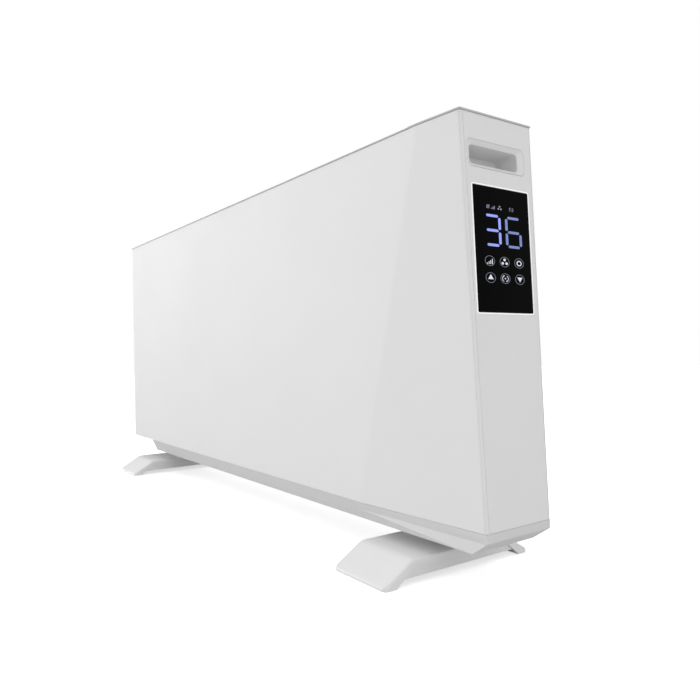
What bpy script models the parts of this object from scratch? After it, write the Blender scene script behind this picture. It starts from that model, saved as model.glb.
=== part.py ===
"""Fan convector heater: a slim sheet-metal casing on two moulded feet.

Frame: +X towards the display end, -Y the front, +Z up. The origin is on the floor, under the middle
of the casing. Sizes are in metres, written as millimetres times MM.
"""
import math

import bmesh
import bpy
from mathutils import Matrix, Vector

MM = 0.001
GAP = 0.3 * MM                      # clearance between pieces that touch

# Casing
CASING_LENGTH = 938 * MM            # along the bottom edge
CASING_DEPTH = 98.5 * MM
CASING_HEIGHT = 375 * MM            # sheet casing only
CASING_BOTTOM = 57 * MM             # height of its lower edge above the floor
END_LEAN = 16.5 * MM                # the display end leans in by this much over the casing height
SHEET = 1.2 * MM

# Slanted crease of the front panel, measured from the display end's lower corner
CREASE_BOTTOM = 170 * MM
CREASE_TOP = 69.5 * MM
FACET_SETBACK = 11.5 * MM           # how far the small facet recedes at the lower corner

# End caps
CAP_WALL = 2.5 * MM
CAP_REACH = 22 * MM                 # how far a cap's flanges reach into the casing

# Top grille and its end cover
TOP_OVERHANG = 0.8 * MM
GRILLE_THICKNESS = 1.2 * MM
END_COVER_THICKNESS = 1.9 * MM
END_COVER_LENGTH = 66 * MM
GRILLE_SLOT_WIDTH = 5 * MM
GRILLE_SLOT_PITCH = 9.5 * MM
GRILLE_SLOT_LENGTH = 35 * MM
GRILLE_SPINE = 6 * MM               # solid strip between the two rows of slots
GRILLE_MARGIN = 26 * MM             # solid length at each end of the grille

# Base skirt
SKIRT_HEIGHT = 19.5 * MM
SKIRT_TAPER = 8 * MM                # each long side comes in by this much
SKIRT_BAND = 8.5 * MM               # upright band at the display end
SKIRT_LEFT_INSET = 105 * MM
SKIRT_LEFT_TAPER = 3 * MM
SKIRT_RIGHT_TAPER = 14 * MM
SKIRT_WALL = 2 * MM

# Feet
FOOT_WIDTH = 82.5 * MM
FOOT_INSET = 67.5 * MM              # from the casing's end to the foot's outer side
FOOT_TOP = 24 * MM                  # height of the flat plate's upper face
FOOT_PLATE = 5.5 * MM
FOOT_BEND = 14.5 * MM               # the flat plate reaches this far past the casing
FOOT_REACH = 49 * MM                # the toe tips reach this far past the casing
TOE_FLAT = 14.5 * MM                # length of a toe's level underside
TOE_TIP = 3.4 * MM                  # height of the blunt tip
FOOT_EDGE_ROUND = 1.5 * MM
RIB_INSET = 6 * MM
RIB_WALL = 2.5 * MM
RIB_CLEAR = 6.6 * MM                # height of the side walls' lower edge above the floor
NECK_LENGTH = 36 * MM
NECK_DEPTH = 20 * MM
NECK_MARGIN = 2.5 * MM              # between the skirt's narrow end and the neck below it
PAD_THICKNESS = 1.7 * MM
PAD_PROUD = 0.5 * MM
PAD_LENGTH = 60 * MM
PAD_DEPTH = 8 * MM

# Screws
SCREW_RADIUS = 2 * MM
SCREW_HOLE_GAP = 0.3 * MM
SCREW_HEAD_RADIUS = 3.8 * MM
SCREW_HEAD_HEIGHT = 2.4 * MM
CASE_SCREW_LENGTH = 7 * MM
CASE_SCREW_HEIGHTS = (90 * MM, 245 * MM, 410 * MM)
CASE_SCREW_INSET = 12 * MM
FOOT_SCREW_SPACING = 20 * MM
FOOT_SCREW_LENGTH = 15 * MM
FOOT_SCREW_SEAT = 9 * MM            # depth of plate and neck left above the screw's head

# Carry grips
GRIP_HEIGHT = 395.6 * MM            # centre of the grip above the floor
GRIP_MOUTH = (64.5 * MM, 17.3 * MM)
GRIP_RIM_STEP = (5.75 * MM, 3.85 * MM)      # width of the sloped rim beside and above the mouth
GRIP_RIM_RADIUS = 5 * MM
GRIP_MOUTH_RADIUS = 3 * MM
GRIP_BEVEL = 3.5 * MM
GRIP_DEPTH = 29.5 * MM
GRIP_WALL = 1.8 * MM

# Display
DISPLAY_HEIGHT = 309.5 * MM         # centre of the glass above the floor
DISPLAY_SHIFT = 3.3 * MM            # centre of the glass behind the middle of the casing's depth
GLASS = (74.5 * MM, 115 * MM)
GLASS_THICKNESS = 3 * MM
GLASS_RADIUS = 1.2 * MM
FRAME_WIDTH = 1.3 * MM
FRAME_DEPTH = 7 * MM
FRAME_PROUD = 0.4 * MM
FRAME_STEP = 3 * MM
BOARD = (64 * MM, 106 * MM)
BOARD_THICKNESS = 1.6 * MM
DIGIT_MODULE = (50 * MM, 32 * MM, 7 * MM)
DIGIT_HEIGHT = 328 * MM

# Heating elements
ELEMENT_START = 69 * MM             # from the casing's left end to the fins
ELEMENT_END_ROOM = 45 * MM          # from the fins to the wall of the control end
ELEMENT_HEIGHT = 190 * MM
ELEMENT_SPACING = 42 * MM
ELEMENT_FIN = 17 * MM
ELEMENT_WEB = 1.5 * MM              # half the thickness of a fin
ELEMENT_ROD = 4 * MM
ELEMENT_ROD_REACH = 16 * MM
INSULATOR_RADIUS = 8 * MM
INSULATOR_FLANGE = 11 * MM
INSULATOR_LENGTH = 9 * MM
BRACKET_OFFSET = 9 * MM             # between the end of the fins and its bracket
BRACKET_DEPTH = 86 * MM
BRACKET_HEIGHT = 60 * MM

# Heat shields and the wall towards the control end
SHIELD_THICKNESS = 0.8 * MM
SHIELD_BOTTOM = 155 * MM
SHIELD_TOP = 405 * MM
SHIELD_AIR = 4 * MM                 # air space between a shield and the casing sheet
PARTITION_INSET = 264 * MM          # from the display end's lower corner

# Fan
FAN_INSET = 344 * MM                # from the casing's left end to the fan's axis
FAN_HEIGHT = 108 * MM
FAN_OUTER = 84 * MM
FAN_BORE = 38 * MM
FAN_RING_DEPTH = 24 * MM
FAN_WALL_AIR = 3 * MM               # between the fan's ring and the rear panel
IMPELLER_HUB = 13 * MM
IMPELLER_TIP_GAP = 2 * MM
IMPELLER_DEPTH = 14 * MM
BLADE_COUNT = 7
BLADE_STEPS = 4
BLADE_TWIST = math.radians(24)
SHAFT_RADIUS = 2.5 * MM
SHAFT_GAP = 0.3 * MM
MOTOR_RADIUS = 18 * MM
MOTOR_LENGTH = 26 * MM
STRUT_WIDTH = 6 * MM
STRUT_THICKNESS = 3 * MM

# Rear panel slots
REAR_SLOT_HEIGHT = 4 * MM
REAR_SLOT_PITCH = 9 * MM
REAR_SLOT_LENGTH = 84 * MM
REAR_SLOT_STEP = 100 * MM
REAR_SLOT_BOTTOM = 74 * MM
REAR_LOW_ROWS = 4
REAR_FAN_ROWS = 9
REAR_SLOT_COLUMNS = 6

# Floor slots
FLOOR_SLOT_WIDTH = 5 * MM
FLOOR_SLOT_PITCH = 14 * MM
FLOOR_SLOT_LENGTH = 50 * MM
FLOOR_SLOT_MARGIN = 175 * MM

# Mains switch and cable gland, on the rear panel
SWITCH_INSET = 79 * MM              # from the display end's lower corner
SWITCH_HEIGHT = 130 * MM
SWITCH_BODY = (20 * MM, 30 * MM)
SWITCH_FLANGE = 2.5 * MM
SWITCH_FLANGE_THICKNESS = 1.5 * MM
SWITCH_REACH = 18 * MM
ROCKER = (13 * MM, 23 * MM)
ROCKER_GAP = 0.6 * MM
ROCKER_POCKET = 12 * MM
ROCKER_TILT = math.radians(8)
ROCKER_PROUD = 2.5 * MM
ROCKER_PIN_RADIUS = 1.2 * MM
GLAND_INSET = 39 * MM
GLAND_HEIGHT = 82 * MM
GLAND_BORE = 4 * MM
GLAND_RADIUS = 7 * MM
GLAND_FLANGE = 10 * MM
GLAND_REACH = 9 * MM

# Control compartment, with places measured from the display end's lower corner
POWER_BOARD_INSET = 119 * MM
POWER_BOARD_LENGTH = 118 * MM
POWER_BOARD_Z = (150 * MM, 225 * MM)
POWER_BOARD_Y = 26 * MM
RELAY = (16 * MM, 15 * MM, 20 * MM)
RELAY_INSETS = (207 * MM, 169 * MM)
RELAY_Z = 178 * MM
TERMINAL_BLOCK = (48 * MM, 18 * MM, 14 * MM)
TERMINAL_INSET = 139 * MM
SENSOR_RADIUS = 2.5 * MM
SENSOR_LENGTH = 12 * MM
SENSOR_INSET = 219 * MM
SENSOR_HEIGHT = 80 * MM
CUTOUT_RADIUS = 8 * MM
CUTOUT_HEIGHT = 7 * MM
CUTOUT_INSET = 409 * MM
CUTOUT_Z = 260 * MM

# Tip-over switch
TILT_INSET = 149 * MM               # from the display end's lower corner
TILT_BODY = (16 * MM, 34 * MM, 44 * MM)
TILT_WALL = 2.5 * MM
TILT_PIN_RADIUS = 1.5 * MM
TILT_PIN_DROP = 8 * MM
TILT_EYE = 4.5 * MM
TILT_ROD = 2 * MM
TILT_BOB = (8 * MM, 10 * MM, 10 * MM)
TILT_BOB_DROP = 20 * MM

# Internal looms
LOOM_RADIUS = 2 * MM
LOOM_SIDES = 2                      # bevel resolution of a loom's round section
LOOM_STEP = 6 * MM

# Values that follow from the ones above
LEFT = -CASING_LENGTH / 2
RIGHT = CASING_LENGTH / 2
FRONT = -CASING_DEPTH / 2
REAR = CASING_DEPTH / 2
CASING_TOP = CASING_BOTTOM + CASING_HEIGHT
REAR_INNER = REAR - SHEET - GAP
FRONT_INNER = FRONT + SHEET + GAP
LEAN_ANGLE = math.atan2(END_LEAN, CASING_HEIGHT)
SKIRT_TOP = CASING_BOTTOM - GAP
SKIRT_BOTTOM = CASING_BOTTOM - SKIRT_HEIGHT
NECK_TOP = SKIRT_BOTTOM - GAP
FLOOR_PAN_BOTTOM = CASING_BOTTOM + GAP
FLOOR_PAN_TOP = FLOOR_PAN_BOTTOM + SHEET
GRIP_RIM = tuple(mouth + 2 * step for mouth, step in zip(GRIP_MOUTH, GRIP_RIM_STEP))
PARTITION_X = RIGHT - PARTITION_INSET
ELEMENT_LEFT = LEFT + ELEMENT_START
ELEMENT_RIGHT = PARTITION_X - ELEMENT_END_ROOM
FAN_X = LEFT + FAN_INSET
SWITCH_X = RIGHT - SWITCH_INSET
GLAND_X = RIGHT - GLAND_INSET
POWER_BOARD_RIGHT = RIGHT - POWER_BOARD_INSET
POWER_BOARD_LEFT = POWER_BOARD_RIGHT - POWER_BOARD_LENGTH
TERMINAL_X = RIGHT - TERMINAL_INSET
SENSOR_X = RIGHT - SENSOR_INSET
CUTOUT_X = RIGHT - CUTOUT_INSET
TILT_X = RIGHT - TILT_INSET


# ---------------------------------------------------------------- helpers

def clear_scene():
    for old in list(bpy.data.objects):
        bpy.data.objects.remove(old, do_unlink=True)


def make_material(name, colour, roughness, metallic=0.0):
    material = bpy.data.materials.new(name)
    material.use_nodes = True
    shader = material.node_tree.nodes["Principled BSDF"]
    shader.inputs["Base Color"].default_value = (*colour, 1.0)
    shader.inputs["Roughness"].default_value = roughness
    shader.inputs["Metallic"].default_value = metallic
    return material


def add_object(name, shape, material, place=None):
    """Turns a bmesh into a named object; place is a matrix for pieces built in their own frame."""
    bmesh.ops.recalc_face_normals(shape, faces=shape.faces)
    mesh = bpy.data.meshes.new(name)
    shape.to_mesh(mesh)
    shape.free()
    mesh.materials.append(material)
    piece = bpy.data.objects.new(name, mesh)
    bpy.context.scene.collection.objects.link(piece)
    if place is not None:
        piece.matrix_world = place
    return piece


def add_boolean(piece, shape, operation, place=None):
    """Cuts a hidden helper solid out of a piece, or joins it on."""
    label = f"{piece.name}_{operation.lower()}_{len(piece.modifiers)}"
    helper = add_object(label, shape, piece.data.materials[0], place)
    helper.hide_render = True
    helper.display_type = "WIRE"
    modifier = piece.modifiers.new(label, "BOOLEAN")
    modifier.operation = operation
    modifier.object = helper
    modifier.solver = "EXACT"


def round_edges(piece, width):
    modifier = piece.modifiers.new("edge_round", "BEVEL")
    modifier.width = width
    modifier.segments = 2
    modifier.limit_method = "ANGLE"
    modifier.angle_limit = math.radians(25)


def shade_round(piece):
    piece.data.shade_smooth()
    piece.data.set_sharp_from_angle(angle=math.radians(40))


def box(low, high, shape=None):
    """Adds a box between two corners to a bmesh, a new one by default."""
    shape = shape or bmesh.new()
    size = [upper - lower for lower, upper in zip(low, high)]
    middle = [(upper + lower) / 2 for lower, upper in zip(low, high)]
    place = Matrix.Translation(middle) @ Matrix.Diagonal((*size, 1.0))
    bmesh.ops.create_cube(shape, size=1.0, matrix=place)
    return shape


def centred_box(centre, size, shape=None):
    low = [value - span / 2 for value, span in zip(centre, size)]
    high = [value + span / 2 for value, span in zip(centre, size)]
    return box(low, high, shape)


def loft(rings, ring_shaped=False, shape=None):
    """Joins rings of equal point counts. The two ends are capped, or joined when ring_shaped."""
    shape = shape or bmesh.new()
    rows = [[shape.verts.new(point) for point in ring] for ring in rings]
    pairs = list(zip(rows, rows[1:]))
    if ring_shaped:
        pairs.append((rows[-1], rows[0]))
    for lower, upper in pairs:
        for index, start in enumerate(lower):
            following = (index + 1) % len(lower)
            shape.faces.new((start, lower[following], upper[following], upper[index]))
    if not ring_shaped:
        shape.faces.new(rows[0])
        shape.faces.new(rows[-1])
    return shape


def prism(outline, axis, low, high, shape=None):
    """Extrudes an outline of (a, b) pairs along an axis; a and b are the other two, in X Y Z order."""
    def lifted(point, level):
        values = list(point)
        values.insert("XYZ".index(axis), level)
        return Vector(values)
    rings = [[lifted(point, level) for point in outline] for level in (low, high)]
    return loft(rings, shape=shape)


def round_rect(width, height, radius, steps=3):
    """Corner-rounded rectangle as (a, b) pairs, centred on zero."""
    points = []
    corners = ((1, 1, 0), (-1, 1, 90), (-1, -1, 180), (1, -1, 270))
    for side_a, side_b, start in corners:
        for step in range(steps + 1):
            turn = math.radians(start + 90 * step / steps)
            across = side_a * (width / 2 - radius) + radius * math.cos(turn)
            up = side_b * (height / 2 - radius) + radius * math.sin(turn)
            points.append((across, up))
    return points


def circle(radius, steps=24):
    turns = [2 * math.pi * step / steps for step in range(steps)]
    return [(radius * math.cos(turn), radius * math.sin(turn)) for turn in turns]


def moved(outline, across, up):
    return [(point[0] + across, point[1] + up) for point in outline]


def rod(axis, centre, radius, low, high, steps=24, shape=None):
    """Round bar along an axis, centred on a pair of the other two coordinates."""
    return prism(moved(circle(radius, steps), *centre), axis, low, high, shape)


def turned(axis, centre, profile, steps=24):
    """Closed ring turned about an axis from (radius, level) pairs."""
    rings = []
    for radius, level in profile:
        ring = []
        for point in moved(circle(radius, steps), *centre):
            values = list(point)
            values.insert("XYZ".index(axis), level)
            ring.append(Vector(values))
        rings.append(ring)
    return loft(rings, ring_shaped=True)


# ---------------------------------------------------------------- casing geometry

def end_x(height):
    """X of the display end's outer face at a height."""
    return RIGHT - END_LEAN * (height - CASING_BOTTOM) / CASING_HEIGHT


def crease_x(height):
    rise = (height - CASING_BOTTOM) / CASING_HEIGHT
    return RIGHT - CREASE_BOTTOM + (CREASE_BOTTOM - CREASE_TOP) * rise


def front_y(across, height):
    """Y of the front panel's outer face; beyond the crease it lies on the small facet's plane."""
    slope = FACET_SETBACK / CREASE_BOTTOM
    return FRONT + slope * max(0.0, across - crease_x(height))


def front_inner_y(across, height):
    return front_y(across, height) + SHEET + GAP


def display_end_frame(height, shift=0.0):
    """Frame on the display end's face: local X points out, local Y to the rear, local Z up."""
    place = Matrix.Translation((end_x(height), shift, height))
    return place @ Matrix.Rotation(-LEAN_ANGLE, 4, "Y")


def left_end_frame(height):
    return Matrix.Translation((LEFT, 0.0, height)) @ Matrix.Rotation(math.pi, 4, "Z")


def build_front_panel(paint):
    rings = []
    for height in (CASING_BOTTOM, CASING_TOP):
        edge = end_x(height)
        outer = [(LEFT, FRONT), (crease_x(height), FRONT), (edge, front_y(edge, height))]
        inner = [(across, depth + SHEET) for across, depth in reversed(outer)]
        rings.append([Vector((across, depth, height)) for across, depth in outer + inner])
    add_object("front_panel", loft(rings), paint)


def case_screw_places():
    """X and height of each rear screw: three up each end."""
    places = []
    for height in CASE_SCREW_HEIGHTS:
        places.append((LEFT + CASE_SCREW_INSET, height))
        places.append((end_x(height) - CASE_SCREW_INSET, height))
    return places


def screw_holes():
    """Cutter for the rear screws, through the rear panel and the caps' rear flanges."""
    shape = bmesh.new()
    for across, height in case_screw_places():
        radius = SCREW_RADIUS + SCREW_HOLE_GAP
        rod("Y", (across, height), radius, REAR - CASE_SCREW_LENGTH, REAR + SHEET, 16, shape)
    return shape


def rear_slots():
    """Cutter for the air inlets: low rows along the whole length, more rows behind the fan."""
    shape = bmesh.new()
    for column in range(REAR_SLOT_COLUMNS):
        across = FAN_X + (column - 2) * REAR_SLOT_STEP
        rows = REAR_FAN_ROWS if column == 2 else REAR_LOW_ROWS
        for row in range(rows):
            centre = (across, REAR - SHEET / 2, REAR_SLOT_BOTTOM + row * REAR_SLOT_PITCH)
            centred_box(centre, (REAR_SLOT_LENGTH, 3 * SHEET, REAR_SLOT_HEIGHT), shape)
    return shape


def build_rear_panel(paint):
    rings = []
    for height in (CASING_BOTTOM, CASING_TOP):
        edge = end_x(height)
        corners = [(LEFT, REAR - SHEET), (edge, REAR - SHEET), (edge, REAR), (LEFT, REAR)]
        rings.append([Vector((across, depth, height)) for across, depth in corners])
    panel = add_object("rear_panel", loft(rings), paint)
    add_boolean(panel, rear_slots(), "DIFFERENCE")
    add_boolean(panel, screw_holes(), "DIFFERENCE")
    hole = [span + 2 * GAP for span in SWITCH_BODY]
    switch = centred_box((SWITCH_X, REAR, SWITCH_HEIGHT), (hole[0], 4 * SHEET, hole[1]))
    add_boolean(panel, switch, "DIFFERENCE")
    gland = rod("Y", (GLAND_X, GLAND_HEIGHT), GLAND_RADIUS + GAP, REAR - 2 * SHEET, REAR + SHEET)
    add_boolean(panel, gland, "DIFFERENCE")


def grip_hole():
    """Cutter for a carry grip's rim, in an end's own frame."""
    outline = round_rect(GRIP_RIM[0] + 2 * GAP, GRIP_RIM[1] + 2 * GAP, GRIP_RIM_RADIUS)
    return prism(outline, "X", -3 * CAP_WALL, 2 * CAP_WALL)


def build_left_end_cap(paint):
    low = (LEFT, FRONT_INNER, CASING_BOTTOM)
    high = (LEFT + CAP_REACH, REAR_INNER, CASING_TOP)
    cap = add_object("left_end_cap", box(low, high), paint)
    inner_low = [value + CAP_WALL for value in low]
    inner_high = (LEFT + 2 * CAP_REACH, REAR_INNER - CAP_WALL, CASING_TOP - CAP_WALL)
    add_boolean(cap, box(inner_low, inner_high), "DIFFERENCE")
    add_boolean(cap, grip_hole(), "DIFFERENCE", left_end_frame(GRIP_HEIGHT))
    add_boolean(cap, screw_holes(), "DIFFERENCE")


def right_cap_ring(height, wall, reach):
    """Outline of the display end's cap at one height, drawn in by a wall on three sides."""
    outer = end_x(height) - wall
    inner = end_x(height) - reach
    rear = REAR_INNER - wall
    return [
        Vector((outer, front_inner_y(outer, height) + wall, height)),
        Vector((outer, rear, height)),
        Vector((inner, rear, height)),
        Vector((inner, front_inner_y(inner, height) + wall, height)),
    ]


def build_right_end_cap(paint):
    heights = (CASING_BOTTOM, CASING_TOP)
    cap = add_object("right_end_cap", loft([right_cap_ring(h, 0.0, CAP_REACH) for h in heights]), paint)
    heights = (CASING_BOTTOM + CAP_WALL, CASING_TOP - CAP_WALL)
    hollow = loft([right_cap_ring(h, CAP_WALL, 2 * CAP_REACH) for h in heights])
    add_boolean(cap, hollow, "DIFFERENCE")
    add_boolean(cap, grip_hole(), "DIFFERENCE", display_end_frame(GRIP_HEIGHT))
    window = round_rect(*frame_outline_size(GAP), GLASS_RADIUS + FRAME_WIDTH)
    add_boolean(cap, prism(window, "X", -3 * CAP_WALL, 2 * CAP_WALL), "DIFFERENCE",
                display_end_frame(DISPLAY_HEIGHT, DISPLAY_SHIFT))
    add_boolean(cap, screw_holes(), "DIFFERENCE")


def build_grip_cup(name, place, plastic):
    """Finger recess: flange with a sloped rim, mouth and pocket, in one closed wall."""
    pocket = (GRIP_MOUTH[0] + 2 * GRIP_WALL, GRIP_MOUTH[1] + 2 * GRIP_WALL)
    pocket_radius = GRIP_MOUTH_RADIUS + GRIP_WALL
    flange_back = -GRIP_BEVEL - GRIP_WALL
    stations = (
        (pocket, pocket_radius, -GRIP_DEPTH - GRIP_WALL),
        (pocket, pocket_radius, flange_back),
        (GRIP_RIM, GRIP_RIM_RADIUS, flange_back),
        (GRIP_RIM, GRIP_RIM_RADIUS, 0.0),
        (GRIP_MOUTH, GRIP_MOUTH_RADIUS, -GRIP_BEVEL),
        (GRIP_MOUTH, GRIP_MOUTH_RADIUS, -GRIP_DEPTH),
    )
    rings = []
    for size, radius, depth in stations:
        rings.append([Vector((depth, side, up)) for side, up in round_rect(*size, radius)])
    add_object(name, loft(rings), plastic, place)


def top_outline(start, stop, overhang):
    """Outline of a top cover between two x positions, following the crease and the end."""
    height = CASING_TOP
    rear = REAR + overhang
    points = [(start, FRONT - overhang)]
    if start < crease_x(height) < stop:
        points.append((crease_x(height), FRONT - overhang))
    points.append((stop, front_y(stop, height) - overhang))
    points.append((stop, rear))
    points.append((start, rear))
    return points


def build_top_grille(paint):
    start = LEFT
    stop = end_x(CASING_TOP) - END_COVER_LENGTH - GAP
    bottom = CASING_TOP + GAP
    outline = top_outline(start, stop, TOP_OVERHANG)
    grille = add_object("top_grille", prism(outline, "Z", bottom, bottom + GRILLE_THICKNESS), paint)
    span = stop - start - 2 * GRILLE_MARGIN
    count = int(span / GRILLE_SLOT_PITCH)
    first = (start + stop) / 2 - (count - 1) * GRILLE_SLOT_PITCH / 2
    side_y = (GRILLE_SPINE + GRILLE_SLOT_LENGTH) / 2
    slots = bmesh.new()
    for number in range(count):
        for side in (-side_y, side_y):
            centre = (first + number * GRILLE_SLOT_PITCH, side, bottom + GRILLE_THICKNESS / 2)
            size = (GRILLE_SLOT_WIDTH, GRILLE_SLOT_LENGTH, 3 * GRILLE_THICKNESS)
            centred_box(centre, size, slots)
    add_boolean(grille, slots, "DIFFERENCE")


def build_top_end_cover(plastic):
    stop = end_x(CASING_TOP) + TOP_OVERHANG
    start = end_x(CASING_TOP) - END_COVER_LENGTH
    bottom = CASING_TOP + GAP
    outline = top_outline(start, stop, TOP_OVERHANG)
    add_object("top_end_cover", prism(outline, "Z", bottom, bottom + END_COVER_THICKNESS), plastic)


def build_floor_pan(steel):
    """Slotted sheet that closes the casing from below, between the two end caps."""
    left = LEFT + CAP_REACH + GAP
    right = end_x(CASING_BOTTOM) - CAP_REACH - 2 * GAP
    level = CASING_BOTTOM
    outline = [
        (left, FRONT_INNER), (crease_x(level), FRONT_INNER), (right, front_inner_y(right, level)),
        (right, REAR_INNER), (left, REAR_INNER),
    ]
    pan = add_object("floor_pan", prism(outline, "Z", FLOOR_PAN_BOTTOM, FLOOR_PAN_TOP), steel)
    add_boolean(pan, floor_slots(FLOOR_PAN_BOTTOM, FLOOR_PAN_TOP), "DIFFERENCE")
    add_boolean(pan, foot_screw_holes(FLOOR_PAN_BOTTOM - SHEET, FLOOR_PAN_TOP + SHEET), "DIFFERENCE")


def floor_slots(bottom, top):
    """Cutter for the air inlets between the feet, the same in the skirt and the floor pan."""
    shape = bmesh.new()
    span = CASING_LENGTH - 2 * FLOOR_SLOT_MARGIN
    count = int(span / FLOOR_SLOT_PITCH)
    for number in range(count):
        across = (number - (count - 1) / 2) * FLOOR_SLOT_PITCH
        centre = (across, 0.0, (bottom + top) / 2)
        size = (FLOOR_SLOT_WIDTH, FLOOR_SLOT_LENGTH, top - bottom + 2 * SHEET)
        centred_box(centre, size, shape)
    return shape


def skirt_ring(share, height, wall):
    """Outline of the skirt, share 0 at its top and 1 at its bottom, drawn in by a wall."""
    taper = SKIRT_TAPER * share
    band_share = SKIRT_BAND / SKIRT_HEIGHT
    lower = max(0.0, share - band_share) / (1 - band_share)
    left = LEFT + SKIRT_LEFT_INSET + SKIRT_LEFT_TAPER * share + wall
    crease = RIGHT - CREASE_BOTTOM
    right = RIGHT - SKIRT_RIGHT_TAPER * lower - wall
    corner = FACET_SETBACK * (1 - lower) + SKIRT_TAPER * lower + wall
    front = taper + wall
    rear_corner = SKIRT_TAPER * lower + wall
    return [
        Vector((left, FRONT + front, height)), Vector((crease, FRONT + front, height)),
        Vector((right, FRONT + corner, height)), Vector((right, REAR - rear_corner, height)),
        Vector((crease, REAR - front, height)), Vector((left, REAR - front, height)),
    ]


def build_base_skirt(plastic):
    band_share = SKIRT_BAND / SKIRT_HEIGHT
    levels = ((0.0, SKIRT_TOP), (band_share, CASING_BOTTOM - SKIRT_BAND), (1.0, SKIRT_BOTTOM))
    skirt = add_object("base_skirt", loft([skirt_ring(s, z, 0.0) for s, z in levels]), plastic)
    shares = (0.0, band_share, 1 - SKIRT_WALL / SKIRT_HEIGHT)
    rings = [skirt_ring(share, CASING_BOTTOM - share * SKIRT_HEIGHT, SKIRT_WALL) for share in shares]
    above = [Vector((point.x, point.y, point.z + SKIRT_WALL)) for point in rings[0]]
    add_boolean(skirt, loft([above] + rings), "DIFFERENCE")
    add_boolean(skirt, floor_slots(SKIRT_BOTTOM, SKIRT_BOTTOM + SKIRT_WALL), "DIFFERENCE")
    holes = foot_screw_holes(SKIRT_BOTTOM - SKIRT_WALL, SKIRT_BOTTOM + 2 * SKIRT_WALL)
    add_boolean(skirt, holes, "DIFFERENCE")


# ---------------------------------------------------------------- feet

def foot_centres():
    offset = FOOT_INSET + FOOT_WIDTH / 2
    return {"left": LEFT + offset, "right": RIGHT - offset}


def neck_centres():
    """X of the necks that carry the casing; both stand under the skirt, the same from each end."""
    offset = SKIRT_LEFT_INSET + SKIRT_LEFT_TAPER + NECK_MARGIN + NECK_LENGTH / 2
    return {"left": LEFT + offset, "right": RIGHT - offset}


def foot_screw_places():
    places = []
    for centre in neck_centres().values():
        places.append(centre - FOOT_SCREW_SPACING / 2)
        places.append(centre + FOOT_SCREW_SPACING / 2)
    return places


def foot_screw_holes(bottom, top, radius=SCREW_RADIUS + SCREW_HOLE_GAP):
    shape = bmesh.new()
    for across in foot_screw_places():
        rod("Z", (across, 0.0), radius, bottom, top, 16, shape)
    return shape


def mirrored(half):
    """Full profile from its +Y half, listed from the middle of the top round to the underside."""
    return half + [(-depth, height) for depth, height in reversed(half)]


def foot_underside(height):
    """Y of a toe's sloping underside at a height."""
    inner = REAR + FOOT_BEND - FOOT_PLATE / 3
    heel = REAR + FOOT_REACH - TOE_FLAT
    share = (height - PAD_PROUD) / (FOOT_TOP - FOOT_PLATE - PAD_PROUD)
    return heel + (inner - heel) * share


def build_foot(name, centre, neck, plastic):
    """Flat plate with sloping toes, side walls set in under its rim, and a neck up to the skirt."""
    plate_bottom = FOOT_TOP - FOOT_PLATE
    bend = REAR + FOOT_BEND
    tip = REAR + FOOT_REACH
    half = [
        (bend, FOOT_TOP), (tip, TOE_TIP), (tip, PAD_PROUD),
        (foot_underside(PAD_PROUD), PAD_PROUD), (foot_underside(plate_bottom), plate_bottom),
    ]
    left = centre - FOOT_WIDTH / 2
    right = centre + FOOT_WIDTH / 2
    foot = add_object(name, prism(mirrored(half), "X", left, right), plastic)
    round_edges(foot, FOOT_EDGE_ROUND)
    wall_half = [
        (foot_underside(plate_bottom + RIB_WALL), plate_bottom + RIB_WALL),
        (foot_underside(RIB_CLEAR) + RIB_WALL, RIB_CLEAR),
    ]
    walls = prism(mirrored(wall_half), "X", left + RIB_INSET, right - RIB_INSET)
    add_boolean(foot, walls, "UNION")
    hollow_half = [
        (foot_underside(plate_bottom) - RIB_WALL, plate_bottom),
        (foot_underside(RIB_CLEAR), RIB_CLEAR - RIB_WALL),
    ]
    inset = RIB_INSET + RIB_WALL
    add_boolean(foot, prism(mirrored(hollow_half), "X", left + inset, right - inset), "DIFFERENCE")
    neck_low = (neck - NECK_LENGTH / 2, -NECK_DEPTH / 2, plate_bottom + RIB_WALL)
    neck_high = (neck + NECK_LENGTH / 2, NECK_DEPTH / 2, NECK_TOP)
    add_boolean(foot, box(neck_low, neck_high), "UNION")
    seat = NECK_TOP - FOOT_SCREW_SEAT
    add_boolean(foot, foot_screw_holes(0.0, NECK_TOP + SHEET), "DIFFERENCE")
    head = SCREW_HEAD_RADIUS + SCREW_HOLE_GAP
    add_boolean(foot, foot_screw_holes(0.0, seat, head), "DIFFERENCE")
    pockets = bmesh.new()
    for side in (-1, 1):
        size = (PAD_LENGTH + 2 * GAP, PAD_DEPTH + 2 * GAP, 2 * (PAD_THICKNESS + GAP))
        centred_box((centre, side * pad_centre_y(), 0.0), size, pockets)
    add_boolean(foot, pockets, "DIFFERENCE")


def pad_centre_y():
    return REAR + FOOT_REACH - TOE_FLAT / 2 - RIB_WALL / 2


def build_foot_pads(rubber):
    for side_name, centre in foot_centres().items():
        for place_name, side in (("front", -1), ("rear", 1)):
            middle = (centre, side * pad_centre_y(), PAD_THICKNESS / 2)
            shape = centred_box(middle, (PAD_LENGTH, PAD_DEPTH, PAD_THICKNESS))
            add_object(f"foot_pad_{side_name}_{place_name}", shape, rubber)


def screw_rings(length):
    """Pan-head screw along local Z: head from 0 down, shank from 0 up."""
    stations = (
        (SCREW_HEAD_RADIUS * 0.8, -SCREW_HEAD_HEIGHT), (SCREW_HEAD_RADIUS, -SCREW_HEAD_HEIGHT / 2),
        (SCREW_HEAD_RADIUS, 0.0), (SCREW_RADIUS, 0.0), (SCREW_RADIUS, length),
    )
    return [[Vector((a, b, level)) for a, b in circle(radius, 16)] for radius, level in stations]


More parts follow.
